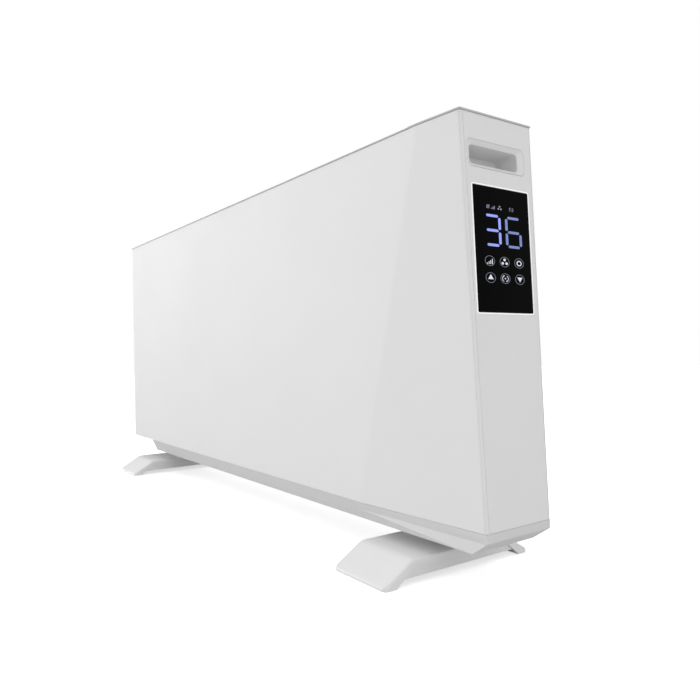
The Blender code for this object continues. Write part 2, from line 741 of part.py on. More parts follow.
def build_foot_screws(steel):
    seat = NECK_TOP - FOOT_SCREW_SEAT - GAP
    for number, across in enumerate(foot_screw_places(), start=1):
        place = Matrix.Translation((across, 0.0, seat))
        screw = add_object(f"foot_screw_{number}", loft(screw_rings(FOOT_SCREW_LENGTH)), steel, place)
        shade_round(screw)


def build_case_screws(steel):
    for number, (across, height) in enumerate(case_screw_places(), start=1):
        turn = Matrix.Rotation(math.radians(90), 4, "X")
        place = Matrix.Translation((across, REAR + GAP, height)) @ turn
        rings = screw_rings(CASE_SCREW_LENGTH - SHEET)
        screw = add_object(f"case_screw_{number}", loft(rings), steel, place)
        shade_round(screw)


# ---------------------------------------------------------------- display

def frame_outline_size(margin):
    return [span + 2 * (FRAME_WIDTH + GAP + margin) for span in GLASS]


def build_display_frame(plastic):
    place = display_end_frame(DISPLAY_HEIGHT, DISPLAY_SHIFT)
    outer = round_rect(*frame_outline_size(0.0), GLASS_RADIUS + FRAME_WIDTH)
    window = round_rect(*[span + 2 * GAP for span in GLASS], GLASS_RADIUS)
    ledge = round_rect(*[span - 2 * FRAME_STEP for span in GLASS], GLASS_RADIUS)
    ledge_depth = FRAME_PROUD - GLASS_THICKNESS - GAP
    stations = (
        (outer, FRAME_PROUD), (outer, -FRAME_DEPTH), (ledge, -FRAME_DEPTH),
        (ledge, ledge_depth), (window, ledge_depth), (window, FRAME_PROUD),
    )
    rings = [[Vector((depth, side, up)) for side, up in outline] for outline, depth in stations]
    add_object("display_frame", loft(rings, ring_shaped=True), plastic, place)


def board_face():
    """Depth of the display board's front, behind the end's face."""
    return -FRAME_DEPTH - GAP


def build_display_stack(glass, board, module):
    place = display_end_frame(DISPLAY_HEIGHT, DISPLAY_SHIFT)
    pane = prism(round_rect(*GLASS, GLASS_RADIUS), "X", FRAME_PROUD - GLASS_THICKNESS, FRAME_PROUD)
    add_object("display_glass", pane, glass, place)
    board_front = board_face()
    half = [span / 2 for span in BOARD]
    low = (board_front - BOARD_THICKNESS, -half[0], -half[1])
    add_object("display_board", box(low, (board_front, half[0], half[1])), board, place)
    rise = DIGIT_HEIGHT - DISPLAY_HEIGHT
    front = FRAME_PROUD - GLASS_THICKNESS - 2 * GAP
    back = board_front + GAP
    middle = ((front + back) / 2, 0.0, rise)
    shape = centred_box(middle, (front - back, DIGIT_MODULE[0], DIGIT_MODULE[1]))
    add_object("digit_module", shape, module, place)


# ---------------------------------------------------------------- heating

def element_sides():
    return {"front": -ELEMENT_SPACING / 2, "rear": ELEMENT_SPACING / 2}


def element_star():
    """Four-armed fin section as (y, z) pairs, arms at 45 degrees."""
    points = []
    for arm in range(4):
        turn = math.radians(45 + 90 * arm)
        along = Vector((math.cos(turn), math.sin(turn)))
        across = Vector((-math.sin(turn), math.cos(turn)))
        points.append(along * ELEMENT_FIN - across * ELEMENT_WEB)
        points.append(along * ELEMENT_FIN + across * ELEMENT_WEB)
        points.append((along + across) * ELEMENT_WEB)
    return [(point.x, point.y) for point in points]


def build_elements(aluminium):
    for name, side in element_sides().items():
        section = moved(element_star(), side, ELEMENT_HEIGHT)
        fins = prism(section, "X", ELEMENT_LEFT, ELEMENT_RIGHT)
        element = add_object(f"heating_element_{name}", fins, aluminium)
        low = ELEMENT_LEFT - ELEMENT_ROD_REACH
        high = ELEMENT_RIGHT + ELEMENT_ROD_REACH
        core = rod("X", (side, ELEMENT_HEIGHT), ELEMENT_ROD, low, high, 16)
        add_boolean(element, core, "UNION")


def bracket_places():
    return {
        "left": ELEMENT_LEFT - BRACKET_OFFSET - SHEET,
        "right": ELEMENT_RIGHT + BRACKET_OFFSET,
    }


def build_brackets(steel):
    for name, start in bracket_places().items():
        low = (start, -BRACKET_DEPTH / 2, ELEMENT_HEIGHT - BRACKET_HEIGHT / 2)
        high = (start + SHEET, BRACKET_DEPTH / 2, ELEMENT_HEIGHT + BRACKET_HEIGHT / 2)
        bracket = add_object(f"element_bracket_{name}", box(low, high), steel)
        holes = bmesh.new()
        for side in element_sides().values():
            centre = (side, ELEMENT_HEIGHT)
            rod("X", centre, INSULATOR_RADIUS + GAP, start - SHEET, start + 2 * SHEET, 24, holes)
        add_boolean(bracket, holes, "DIFFERENCE")


def build_insulators(ceramic):
    """Ceramic bushes with a flange on the side away from the fins."""
    bore = ELEMENT_ROD + GAP
    for end_name, start in bracket_places().items():
        outward = -1 if end_name == "left" else 1
        middle = start + SHEET / 2
        face = middle + outward * (SHEET / 2 + GAP)
        outer = face + outward * (INSULATOR_LENGTH / 3)
        inner = middle - outward * (INSULATOR_LENGTH / 2)
        profile = (
            (bore, inner), (bore, outer), (INSULATOR_FLANGE, outer),
            (INSULATOR_FLANGE, face), (INSULATOR_RADIUS, face), (INSULATOR_RADIUS, inner),
        )
        for side_name, side in element_sides().items():
            shape = turned("X", (side, ELEMENT_HEIGHT), profile)
            bush = add_object(f"insulator_{end_name}_{side_name}", shape, ceramic)
            shade_round(bush)


def build_heat_shields(steel):
    places = bracket_places()
    left = places["left"] + SHEET + GAP
    right = places["right"] - GAP
    for name, wall in (("front", FRONT_INNER + SHIELD_AIR), ("rear", REAR_INNER - SHIELD_AIR)):
        inner = wall + SHIELD_THICKNESS if name == "front" else wall - SHIELD_THICKNESS
        low = (left, min(wall, inner), SHIELD_BOTTOM)
        high = (right, max(wall, inner), SHIELD_TOP)
        add_object(f"heat_shield_{name}", box(low, high), steel)


def build_partition(steel):
    low = (PARTITION_X, FRONT_INNER, FLOOR_PAN_TOP + GAP)
    high = (PARTITION_X + SHEET, REAR_INNER, CASING_TOP)
    wall = add_object("partition_wall", box(low, high), steel)
    pass_hole = rod("X", (0.0, ELEMENT_HEIGHT), INSULATOR_RADIUS, low[0] - SHEET, high[0] + SHEET)
    add_boolean(wall, pass_hole, "DIFFERENCE")


def build_thermal_cutout(plastic):
    """Round snap-action thermostat on the inside of the rear heat shield."""
    back = REAR_INNER - SHIELD_AIR - SHIELD_THICKNESS - GAP
    shape = rod("Y", (CUTOUT_X, CUTOUT_Z), CUTOUT_RADIUS, back - CUTOUT_HEIGHT, back)
    shade_round(add_object("thermal_cutout", shape, plastic))


# ---------------------------------------------------------------- fan

def fan_ring_back():
    return REAR_INNER - FAN_WALL_AIR


def impeller_span():
    """Y of the impeller's front and back, centred in the depth of the ring."""
    middle = fan_ring_back() - FAN_RING_DEPTH / 2
    return middle - IMPELLER_DEPTH / 2, middle + IMPELLER_DEPTH / 2


def motor_span():
    back = fan_ring_back() - FAN_RING_DEPTH - STRUT_THICKNESS - GAP
    return back - MOTOR_LENGTH, back


def build_fan_shroud(plastic):
    """Square plate with a round bore, and two struts across its front that carry the motor."""
    back = fan_ring_back()
    front = back - FAN_RING_DEPTH
    centre = (FAN_X, (front + back) / 2, FAN_HEIGHT)
    shroud = add_object("fan_shroud", centred_box(centre, (FAN_OUTER, FAN_RING_DEPTH, FAN_OUTER)), plastic)
    bore = rod("Y", (FAN_X, FAN_HEIGHT), FAN_BORE, front - SHEET, back + SHEET, 48)
    add_boolean(shroud, bore, "DIFFERENCE")
    strut_y = front - STRUT_THICKNESS / 2 + GAP
    struts = centred_box((FAN_X, strut_y, FAN_HEIGHT), (FAN_OUTER, STRUT_THICKNESS, STRUT_WIDTH))
    add_boolean(shroud, struts, "UNION")
    upright = centred_box((FAN_X, strut_y, FAN_HEIGHT), (STRUT_WIDTH, STRUT_THICKNESS, FAN_OUTER))
    add_boolean(shroud, upright, "UNION")
    hole_radius = SHAFT_RADIUS + 2 * SHAFT_GAP
    shaft_hole = rod("Y", (FAN_X, FAN_HEIGHT), hole_radius, front - 2 * STRUT_THICKNESS, front + SHEET)
    add_boolean(shroud, shaft_hole, "DIFFERENCE")


def build_fan_motor(steel):
    front, back = motor_span()
    motor = add_object("fan_motor", rod("Y", (FAN_X, FAN_HEIGHT), MOTOR_RADIUS, front, back, 32), steel)
    bore = rod("Y", (FAN_X, FAN_HEIGHT), SHAFT_RADIUS + SHAFT_GAP, front + 2 * SHEET, back + SHEET)
    add_boolean(motor, bore, "DIFFERENCE")
    shade_round(motor)


def build_motor_shaft(steel):
    front = motor_span()[0] + 2 * SHEET + GAP
    back = impeller_span()[1]
    shape = rod("Y", (FAN_X, FAN_HEIGHT), SHAFT_RADIUS, front, back, 16)
    shade_round(add_object("motor_shaft", shape, steel))


def build_impeller(plastic):
    """Hub drum whose side faces are drawn out into twisted blades; its origin is on its axis."""
    front, back = impeller_span()
    middle = (front + back) / 2
    sides = BLADE_COUNT * 3
    half = IMPELLER_DEPTH / 2
    bore = SHAFT_RADIUS + GAP
    profile = ((bore, -half), (IMPELLER_HUB, -half), (IMPELLER_HUB, half), (bore, half))
    shape = turned("Y", (0.0, 0.0), profile, sides)
    outer = [face for face in shape.faces if face_radius(face) > IMPELLER_HUB * 0.9]
    outer.sort(key=face_turn)
    reach = (FAN_BORE - IMPELLER_TIP_GAP - IMPELLER_HUB) / BLADE_STEPS
    for face in outer[::3]:
        pull_blade(shape, face, reach)
    place = Matrix.Translation((FAN_X, middle, FAN_HEIGHT))
    add_object("impeller", shape, plastic, place)


def face_radius(face):
    middle = face.calc_center_median()
    return math.hypot(middle.x, middle.z)


def face_turn(face):
    middle = face.calc_center_median()
    return math.atan2(middle.z, middle.x)


def pull_blade(shape, face, reach):
    """Draws one hub face outwards in steps, thinning it once and turning it about its radius."""
    middle = face.calc_center_median()
    outward = Vector((middle.x, 0.0, middle.z)).normalized()
    tangent = Vector((-outward.z, 0.0, outward.x))
    for step in range(BLADE_STEPS):
        face = bmesh.ops.extrude_discrete_faces(shape, faces=[face])["faces"][0]
        centre = face.calc_center_median()
        spin = Matrix.Rotation(BLADE_TWIST / BLADE_STEPS, 4, outward)
        for corner in face.verts:
            offset = corner.co - centre
            if step == 0:
                offset -= tangent * offset.dot(tangent) * 0.35
            corner.co = centre + spin @ offset + outward * reach


# ---------------------------------------------------------------- mains switch and gland

def build_switch_housing(plastic):
    """Rectangular snap-in body with a flange outside the rear panel and a pocket for the rocker."""
    outer = REAR + GAP + SWITCH_FLANGE_THICKNESS
    inner = REAR - SWITCH_REACH
    body = centred_box((SWITCH_X, (REAR + GAP + inner) / 2, SWITCH_HEIGHT),
                       (SWITCH_BODY[0], REAR + GAP - inner, SWITCH_BODY[1]))
    housing = add_object("switch_housing", body, plastic)
    across, up = [span + 2 * SWITCH_FLANGE for span in SWITCH_BODY]
    flange_size = (across, SWITCH_FLANGE_THICKNESS, up)
    flange = centred_box((SWITCH_X, outer - SWITCH_FLANGE_THICKNESS / 2, SWITCH_HEIGHT), flange_size)
    add_boolean(housing, flange, "UNION")
    pocket_size = (ROCKER[0] + 2 * ROCKER_GAP, 2 * ROCKER_POCKET, ROCKER[1] + 4 * ROCKER_GAP)
    add_boolean(housing, centred_box((SWITCH_X, outer, SWITCH_HEIGHT), pocket_size), "DIFFERENCE")
    pin = rod("X", (rocker_axis_y(), SWITCH_HEIGHT), ROCKER_PIN_RADIUS + GAP,
              SWITCH_X - SWITCH_BODY[0] / 2 - SHEET, SWITCH_X + SWITCH_BODY[0] / 2 + SHEET, 16)
    add_boolean(housing, pin, "DIFFERENCE")


def rocker_axis_y():
    return REAR - ROCKER_PROUD


def build_rocker(plastic):
    """Shallow-V rocker on its own pins, its origin on their axis, resting on its lower half."""
    half = ROCKER[1] / 2
    face = REAR + SWITCH_FLANGE_THICKNESS + ROCKER_PROUD - rocker_axis_y()
    dip = half * math.tan(ROCKER_TILT)
    keel = ROCKER_PIN_RADIUS + 1.5 * MM
    outline = [
        (face - dip / 2, 0.0), (face, half), (0.0, half), (-keel, keel),
        (-keel, -keel), (0.0, -half), (face, -half),
    ]
    shape = prism(outline, "X", -ROCKER[0] / 2, ROCKER[0] / 2)
    turn = Matrix.Rotation(-ROCKER_TILT, 4, "X")
    place = Matrix.Translation((SWITCH_X, rocker_axis_y(), SWITCH_HEIGHT)) @ turn
    rocker = add_object("rocker", shape, plastic, place)
    reach = SWITCH_BODY[0] / 2 - GAP
    pins = rod("X", (0.0, 0.0), ROCKER_PIN_RADIUS, -reach, reach, 16)
    add_boolean(rocker, pins, "UNION", place)


def build_cable_gland(rubber):
    """Round bush through the rear panel where the mains lead would enter."""
    outer = REAR + GAP + GLAND_REACH
    flange = REAR + GAP + SWITCH_FLANGE_THICKNESS
    inner = REAR - SHEET - 2 * GLAND_BORE
    profile = (
        (GLAND_BORE, inner), (GLAND_RADIUS, inner), (GLAND_RADIUS, REAR + GAP),
        (GLAND_FLANGE, REAR + GAP), (GLAND_FLANGE, flange), (GLAND_RADIUS, outer), (GLAND_BORE, outer),
    )
    shade_round(add_object("cable_gland", turned("Y", (GLAND_X, GLAND_HEIGHT), profile), rubber))


# ---------------------------------------------------------------- control compartment

def build_power_board(board):
    low = (POWER_BOARD_LEFT, POWER_BOARD_Y, POWER_BOARD_Z[0])
    high = (POWER_BOARD_RIGHT, POWER_BOARD_Y + BOARD_THICKNESS, POWER_BOARD_Z[1])
    add_object("power_board", box(low, high), board)


def build_relays(plastic):
    for number, inset in enumerate(RELAY_INSETS, start=1):
        back = POWER_BOARD_Y - GAP
        middle = (RIGHT - inset, back - RELAY[1] / 2, RELAY_Z)
        relay = add_object(f"relay_{number}", centred_box(middle, RELAY), plastic)
        round_edges(relay, GAP * 2)


def build_terminal_block(plastic):
    size = (TERMINAL_BLOCK[2], TERMINAL_BLOCK[1], TERMINAL_BLOCK[0])
    back = POWER_BOARD_Y - GAP
    middle = (TERMINAL_X, back - size[1] / 2, sum(POWER_BOARD_Z) / 2)
    block = add_object("terminal_block", centred_box(middle, size), plastic)
    ways = bmesh.new()
    for step in (-1, 0, 1):
        centre = (TERMINAL_X, middle[2] + step * size[2] / 3)
        rod("Y", centre, 2.2 * SCREW_RADIUS, middle[1] - size[1], middle[1], 12, ways)
    add_boolean(block, ways, "DIFFERENCE")


def build_room_sensor(plastic):
    """Bead sensor low in the control compartment, in the air drawn in through the floor."""
    top = SENSOR_HEIGHT + SENSOR_LENGTH
    shape = rod("Z", (SENSOR_X, 0.0), SENSOR_RADIUS, SENSOR_HEIGHT, top, 16)
    shade_round(add_object("room_sensor", shape, plastic))


def tilt_top():
    return FLOOR_PAN_TOP + GAP + TILT_BODY[2]


def tilt_pivot():
    return Vector((TILT_X, 0.0, tilt_top() - TILT_PIN_DROP))


def build_tilt_switch(plastic, steel):
    """Open-sided box with a pin across it, from which a weighted pendulum hangs."""
    bottom = FLOOR_PAN_TOP + GAP
    centre = (TILT_X, 0.0, bottom + TILT_BODY[2] / 2)
    body = add_object("tilt_switch_body", centred_box(centre, TILT_BODY), plastic)
    inside = (TILT_BODY[0] - 2 * TILT_WALL, TILT_BODY[1] + TILT_WALL, TILT_BODY[2] - 2 * TILT_WALL)
    add_boolean(body, centred_box(centre, inside), "DIFFERENCE")
    pivot = tilt_pivot()
    half = TILT_BODY[0] / 2
    hole = rod("X", (pivot.y, pivot.z), TILT_PIN_RADIUS + GAP, TILT_X - 2 * half, TILT_X + 2 * half, 16)
    add_boolean(body, hole, "DIFFERENCE")
    pin = rod("X", (pivot.y, pivot.z), TILT_PIN_RADIUS, TILT_X - half, TILT_X + half, 16)
    shade_round(add_object("tilt_pin", pin, steel))


def build_tilt_pendulum(steel):
    """Eye, rod and weight in one piece, its origin on the pin's axis."""
    width = TILT_BOB[0]
    eye = rod("X", (0.0, 0.0), TILT_EYE, -width / 2, width / 2, 16)
    place = Matrix.Translation(tilt_pivot())
    pendulum = add_object("tilt_pendulum", eye, steel, place)
    stem = box((-width / 4, -TILT_ROD / 2, -TILT_BOB_DROP), (width / 4, TILT_ROD / 2, -TILT_EYE / 2))
    add_boolean(pendulum, stem, "UNION", place)
    weight = centred_box((0.0, 0.0, -TILT_BOB_DROP), TILT_BOB)
    add_boolean(pendulum, weight, "UNION", place)
    hole = rod("X", (0.0, 0.0), TILT_PIN_RADIUS + GAP, -width, width, 16)
    add_boolean(pendulum, hole, "DIFFERENCE", place)


def smooth_route(points):
    """Points a few millimetres apart along a curve through the given ones."""
    spaced = []
    padded = [points[0]] + points + [points[-1]]
    for before, start, stop, after in zip(padded, padded[1:], padded[2:], padded[3:]):
        steps = max(2, round((stop - start).length / LOOM_STEP))
        for step in range(steps):
            share = step / steps
            pull = (stop - before) * (share - 2 * share ** 2 + share ** 3)
            push = (after - start) * (share ** 3 - share ** 2)
            blend = share ** 2 * (3 - 2 * share)
            spaced.append(start.lerp(stop, blend) + (pull + push) / 2)
    return spaced + [points[-1]]


def build_loom(name, points, plastic):
    curve = bpy.data.curves.new(name, "CURVE")
    curve.dimensions = "3D"
    curve.bevel_depth = LOOM_RADIUS
    curve.bevel_resolution = LOOM_SIDES
    curve.use_fill_caps = True
    spline = curve.splines.new("POLY")
    route = smooth_route([Vector(point) for point in points])
    spline.points.add(len(route) - 1)
    for point, place in zip(spline.points, route):
        point.co = (*place, 1.0)
    curve.materials.append(plastic)
    bpy.context.scene.collection.objects.link(bpy.data.objects.new(name, curve))


def build_looms(plastic):
    """Bundled leads: from the power board to the elements, and to the display board."""
    left = POWER_BOARD_LEFT - LOOM_RADIUS - GAP
    through = PARTITION_X + SHEET / 2
    board_y = POWER_BOARD_Y + BOARD_THICKNESS / 2
    element_end = ELEMENT_RIGHT + ELEMENT_ROD_REACH + LOOM_RADIUS + GAP
    build_loom("loom_elements", (
        (left, board_y, ELEMENT_HEIGHT), (left - LOOM_STEP, 0.6 * board_y, ELEMENT_HEIGHT),
        (through, 0.0, ELEMENT_HEIGHT), (element_end + LOOM_STEP, 0.0, ELEMENT_HEIGHT),
        (element_end, -ELEMENT_SPACING / 4, ELEMENT_HEIGHT),
    ), plastic)
    right = POWER_BOARD_RIGHT + LOOM_RADIUS + GAP
    display = display_end_frame(DISPLAY_HEIGHT, DISPLAY_SHIFT)
    back = board_face() - BOARD_THICKNESS - 2 * GAP
    arrive = display @ Vector((back, 0.0, -BOARD[1] / 4))
    approach = display @ Vector((back - 3 * LOOM_STEP, 0.0, -BOARD[1] / 4))
    bend = Vector((right + 4 * LOOM_STEP, board_y / 2, (POWER_BOARD_Z[1] + approach.z) / 2))
    build_loom("loom_display", (
        (right, board_y, POWER_BOARD_Z[1] - 3 * LOOM_STEP),
        (right + LOOM_STEP, board_y, POWER_BOARD_Z[1] - 2.5 * LOOM_STEP),
        bend, approach, arrive,
    ), plastic)


# ---------------------------------------------------------------- assembly

def main():
    clear_scene()
    white_paint = make_material("white_powder_coat", (0.80, 0.80, 0.80), 0.45)
    white_plastic = make_material("white_plastic", (0.76, 0.76, 0.77), 0.40)
    grey_paint = make_material("grey_powder_coat", (0.42, 0.42, 0.43), 0.45)
    skirt_plastic = make_material("light_grey_plastic", (0.62, 0.62, 0.63), 0.45)
    black_glass = make_material("black_glass", (0.005, 0.005, 0.006), 0.08)
    black_plastic = make_material("black_plastic", (0.02, 0.02, 0.02), 0.5)
    board_green = make_material("circuit_board", (0.02, 0.12, 0.05), 0.5)
    rubber = make_material("rubber", (0.03, 0.03, 0.03), 0.8)
    steel = make_material("zinc_plated_steel", (0.55, 0.55, 0.56), 0.35, 1.0)
    aluminium = make_material("aluminium", (0.70, 0.70, 0.72), 0.4, 1.0)
    ceramic = make_material("ceramic", (0.75, 0.72, 0.65), 0.6)

    build_front_panel(white_paint)
    build_rear_panel(white_paint)
    build_left_end_cap(white_plastic)
    build_right_end_cap(white_plastic)
    build_grip_cup("grip_cup_left", left_end_frame(GRIP_HEIGHT), white_plastic)
    build_grip_cup("grip_cup_right", display_end_frame(GRIP_HEIGHT), white_plastic)
    build_top_grille(grey_paint)
    build_top_end_cover(skirt_plastic)
    build_floor_pan(steel)
    build_base_skirt(skirt_plastic)
    for name, centre in foot_centres().items():
        build_foot(f"foot_{name}", centre, neck_centres()[name], white_plastic)
    build_foot_pads(rubber)
    build_foot_screws(steel)
    build_case_screws(steel)
    build_display_frame(white_plastic)
    build_display_stack(black_glass, board_green, black_plastic)
    build_elements(aluminium)
    build_brackets(steel)
    build_insulators(ceramic)
    build_heat_shields(steel)
    build_partition(steel)
    build_thermal_cutout(black_plastic)
    build_fan_shroud(black_plastic)
    build_fan_motor(steel)
    build_motor_shaft(steel)
    build_impeller(black_plastic)
    build_switch_housing(black_plastic)
    build_rocker(black_plastic)
    build_cable_gland(rubber)
    build_power_board(board_green)
    build_relays(black_plastic)
    build_terminal_block(white_plastic)
    build_room_sensor(black_plastic)
    build_tilt_switch(black_plastic, steel)
    build_tilt_pendulum(steel)
    build_looms(black_plastic)


main()
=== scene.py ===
"""Fan convector heater: finished pieces, their finishes and the studio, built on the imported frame.

Frame: +X towards the display end, -Y the front, +Z up, in metres, with the origin on the floor
under the middle of the casing.
"""

import logging
import math
from collections.abc import Callable, Iterable, Sequence
from dataclasses import dataclass, field
from enum import Enum

import bmesh
import bpy
from bmesh.types import BMesh, BMEdge, BMVert
from mathutils import Matrix, Vector


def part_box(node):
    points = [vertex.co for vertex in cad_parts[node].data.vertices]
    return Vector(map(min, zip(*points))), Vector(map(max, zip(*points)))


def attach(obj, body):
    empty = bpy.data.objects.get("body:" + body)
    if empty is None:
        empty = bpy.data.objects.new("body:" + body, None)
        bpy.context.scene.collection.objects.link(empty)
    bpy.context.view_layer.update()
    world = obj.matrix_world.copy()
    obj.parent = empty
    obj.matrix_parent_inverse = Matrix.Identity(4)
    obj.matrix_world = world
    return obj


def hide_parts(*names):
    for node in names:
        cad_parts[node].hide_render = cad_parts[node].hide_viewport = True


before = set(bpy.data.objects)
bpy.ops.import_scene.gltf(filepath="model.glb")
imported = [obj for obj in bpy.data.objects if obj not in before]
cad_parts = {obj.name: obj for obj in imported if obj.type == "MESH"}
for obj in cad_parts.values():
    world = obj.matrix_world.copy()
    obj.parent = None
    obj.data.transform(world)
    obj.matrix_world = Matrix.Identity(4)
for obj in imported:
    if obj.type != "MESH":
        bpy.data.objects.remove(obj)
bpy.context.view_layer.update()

LOG = logging.getLogger("heater")
MM = 0.001
SMOOTH_ANGLE = math.radians(38)      # edges sharper than this stay crisp
ROUNDED_ANGLE = math.radians(32)     # edges sharper than this are rounded on a softened piece
FLAT_ANGLE = math.radians(0.5)       # faces that meet at less than this are one flat face
MERGE = 0.001 * MM                   # distance under which corners are one corner
NEAR = 0.1 * MM                      # distance under which a corner is at a place

Triple = tuple[float, float, float]


class Body(Enum):
    """The moving bodies of the heater."""

    CASING = "casing"
    FAN = "fan_rotor"
    SWITCH = "rocker_switch"
    PENDULUM = "tip_over_pendulum"


class Slot(Enum):
    """The material slots that the finishes belong to."""

    WHITE_STEEL = "white_steel"
    WHITE_PLASTIC = "white_plastic"
    TOP_GREY = "top_grey"
    SKIRT_GREY = "skirt_grey"
    BLACK_GLASS = "black_glass"
    BLACK_PLASTIC = "black_plastic"
    CIRCUIT_BOARD = "circuit_board"
    BLACK_RUBBER = "black_rubber"
    ZINC_STEEL = "zinc_steel"
    ALUMINIUM = "aluminium"
    CERAMIC = "ceramic"


class Carve(Enum):
    """How one solid changes another."""

    CUT = "DIFFERENCE"
    JOIN = "UNION"


# ---------------------------------------------------------------- finishes

def srgb(code: str) -> tuple[float, float, float, float]:
    """Turns an sRGB hex value into the linear colour that a shader takes.

    Args:
        code: six hex digits after a hash sign.

    Returns:
        Linear red, green and blue, and an alpha of one.
    """
    channels = [int(code[start:start + 2], 16) / 255 for start in (1, 3, 5)]
    linear = [c / 12.92 if c <= 0.04045 else ((c + 0.055) / 1.055) ** 2.4 for c in channels]
    return (*linear, 1.0)


def per_metre(size_mm: float) -> float:
    """Returns the texture scale whose features are that many millimetres across."""
    return 1 / (size_mm * MM)


def add_node(tree: bpy.types.NodeTree, kind: str, inputs: dict[str, object] | None = None,
             **settings: object) -> bpy.types.Node:
    """Adds one shader node.

    Args:
        tree: the material's node tree.
        kind: the node's type.
        inputs: by input name, either the socket to link from or a fixed value.
        settings: properties of the node itself.

    Returns:
        The new node.
    """
    node = tree.nodes.new(kind)
    for name, value in settings.items():
        setattr(node, name, value)
    for name, value in (inputs or {}).items():
        if isinstance(value, bpy.types.NodeSocket):
            tree.links.new(value, node.inputs[name])
        else:
            node.inputs[name].default_value = value
    return node


@dataclass(frozen=True)
class Skin:
    """A shader being set up: its node tree, the Principled shader and the object coordinates."""

    tree: bpy.types.NodeTree
    shader: bpy.types.Node
    place: bpy.types.NodeSocket


@dataclass(frozen=True)
class Finish:
    """A real finish. Its material is made once and shared by every piece that has it."""

    name: str
    slot: Slot
    colour: str
    roughness: float

    def material(self) -> bpy.types.Material:
        """Makes the finish's material the first time, and finds it again later.

        Returns:
            The material.
        """
        known = bpy.data.materials.get(self.name)
        if known is not None:
            return known
        made = bpy.data.materials.new(self.name)
        made.use_nodes = True
        tree = made.node_tree
        shader = tree.nodes["Principled BSDF"]
        shader.inputs["Base Color"].default_value = srgb(self.colour)
        shader.inputs["Roughness"].default_value = self.roughness
        place = add_node(tree, "ShaderNodeTexCoord").outputs["Object"]
        self.add_pattern(Skin(tree, shader, place))
        return made

    def add_pattern(self, skin: Skin) -> None:
        """Gives the shader the finish's own pattern.

        Args:
            skin: the shader being set up.
        """
        raise NotImplementedError

    def add_relief(self, skin: Skin, height: bpy.types.NodeSocket, depth_mm: float) -> None:
        """Bumps the surface by a pattern.

        Args:
            skin: the shader being set up.
            height: the pattern.
            depth_mm: how far the pattern's highest places stand over its lowest, in millimetres.
        """
        bump = add_node(skin.tree, "ShaderNodeBump", {"Height": height, "Distance": depth_mm * MM})
        skin.tree.links.new(bump.outputs["Normal"], skin.shader.inputs["Normal"])

    def add_shades(self, skin: Skin, factor: bpy.types.NodeSocket, other: str) -> None:
        """Runs the base colour between the finish's colour and another by a pattern.

        Args:
            skin: the shader being set up.
            factor: the pattern.
            other: the other colour, as an sRGB hex value.
        """
        blend = add_node(skin.tree, "ShaderNodeValToRGB", {"Fac": factor})
        blend.color_ramp.elements[0].color = srgb(self.colour)
        blend.color_ramp.elements[1].color = srgb(other)
        skin.tree.links.new(blend.outputs["Color"], skin.shader.inputs["Base Color"])

    def add_gloss_range(self, skin: Skin, factor: bpy.types.NodeSocket, spread: float) -> None:
        """Lets the roughness wander about its value.

        Args:
            skin: the shader being set up.
            factor: the pattern that it follows.
            spread: how far it goes to either side.
        """
        span = add_node(skin.tree, "ShaderNodeMapRange", {
            "Value": factor, "To Min": self.roughness - spread, "To Max": self.roughness + spread})
        skin.tree.links.new(span.outputs["Result"], skin.shader.inputs["Roughness"])


@dataclass(frozen=True)
class PowderCoat(Finish):
    """Polyester powder baked on steel sheet: a matt film with a faint orange peel.

    The peel's ripples are 2 to 3 mm across and a hundredth of a millimetre deep, so the eye sees
    them only where a light is mirrored. The film's gloss wanders a little over a hand's width.
    """

    shade: str = "#E6E6E6"
    mirror: float = 0.15
    peel_mm: float = 2.6
    peel_depth_mm: float = 0.012
    cloud_mm: float = 90
    gloss_spread: float = 0.04

    def add_pattern(self, skin: Skin) -> None:
        """Adds the peel, the wandering gloss and a slight change of shade.

        Args:
            skin: the shader being set up.
        """
        skin.shader.inputs["Specular IOR Level"].default_value = self.mirror
        peel = add_node(skin.tree, "ShaderNodeTexNoise", {
            "Vector": skin.place, "Scale": per_metre(self.peel_mm), "Detail": 1.5, "Roughness": 0.4})
        self.add_relief(skin, peel.outputs["Fac"], self.peel_depth_mm)
        cloud = add_node(skin.tree, "ShaderNodeTexNoise", {
            "Vector": skin.place, "Scale": per_metre(self.cloud_mm), "Detail": 2.0, "Roughness": 0.5})
        self.add_shades(skin, cloud.outputs["Fac"], self.shade)
        self.add_gloss_range(skin, cloud.outputs["Fac"], self.gloss_spread)


@dataclass(frozen=True)
class MouldedPlastic(Finish):
    """ABS from a spark-eroded mould: a fine even grain that spreads the light softly.

    The real grain is about 0.15 mm; it is drawn at 0.5 mm, the finest that still shows.
    """

    shade: str = "#E4E4E4"
    grain_mm: float = 0.5
    grain_depth_mm: float = 0.010
    flow_mm: float = 55
    gloss_spread: float = 0.05
    glow: float = 0.0                    # painted highlight: an even white glow that stands in for light caught by the moulding

    def add_pattern(self, skin: Skin) -> None:
        """Adds the mould's grain and faint flow shading.

        Args:
            skin: the shader being set up.
        """
        # Painted highlight: a moulding whose glow is above zero shines white evenly, as the display trim
        # does.
        skin.shader.inputs["Emission Color"].default_value = srgb("#FFFFFF")
        skin.shader.inputs["Emission Strength"].default_value = self.glow
        grain = add_node(skin.tree, "ShaderNodeTexNoise", {
            "Vector": skin.place, "Scale": per_metre(self.grain_mm), "Detail": 2.0, "Roughness": 0.6})
        self.add_relief(skin, grain.outputs["Fac"], self.grain_depth_mm)
        flow = add_node(skin.tree, "ShaderNodeTexNoise", {
            "Vector": skin.place, "Scale": per_metre(self.flow_mm), "Detail": 1.0, "Distortion": 0.6})
        self.add_shades(skin, flow.outputs["Fac"], self.shade)
        self.add_gloss_range(skin, grain.outputs["Fac"], self.gloss_spread)


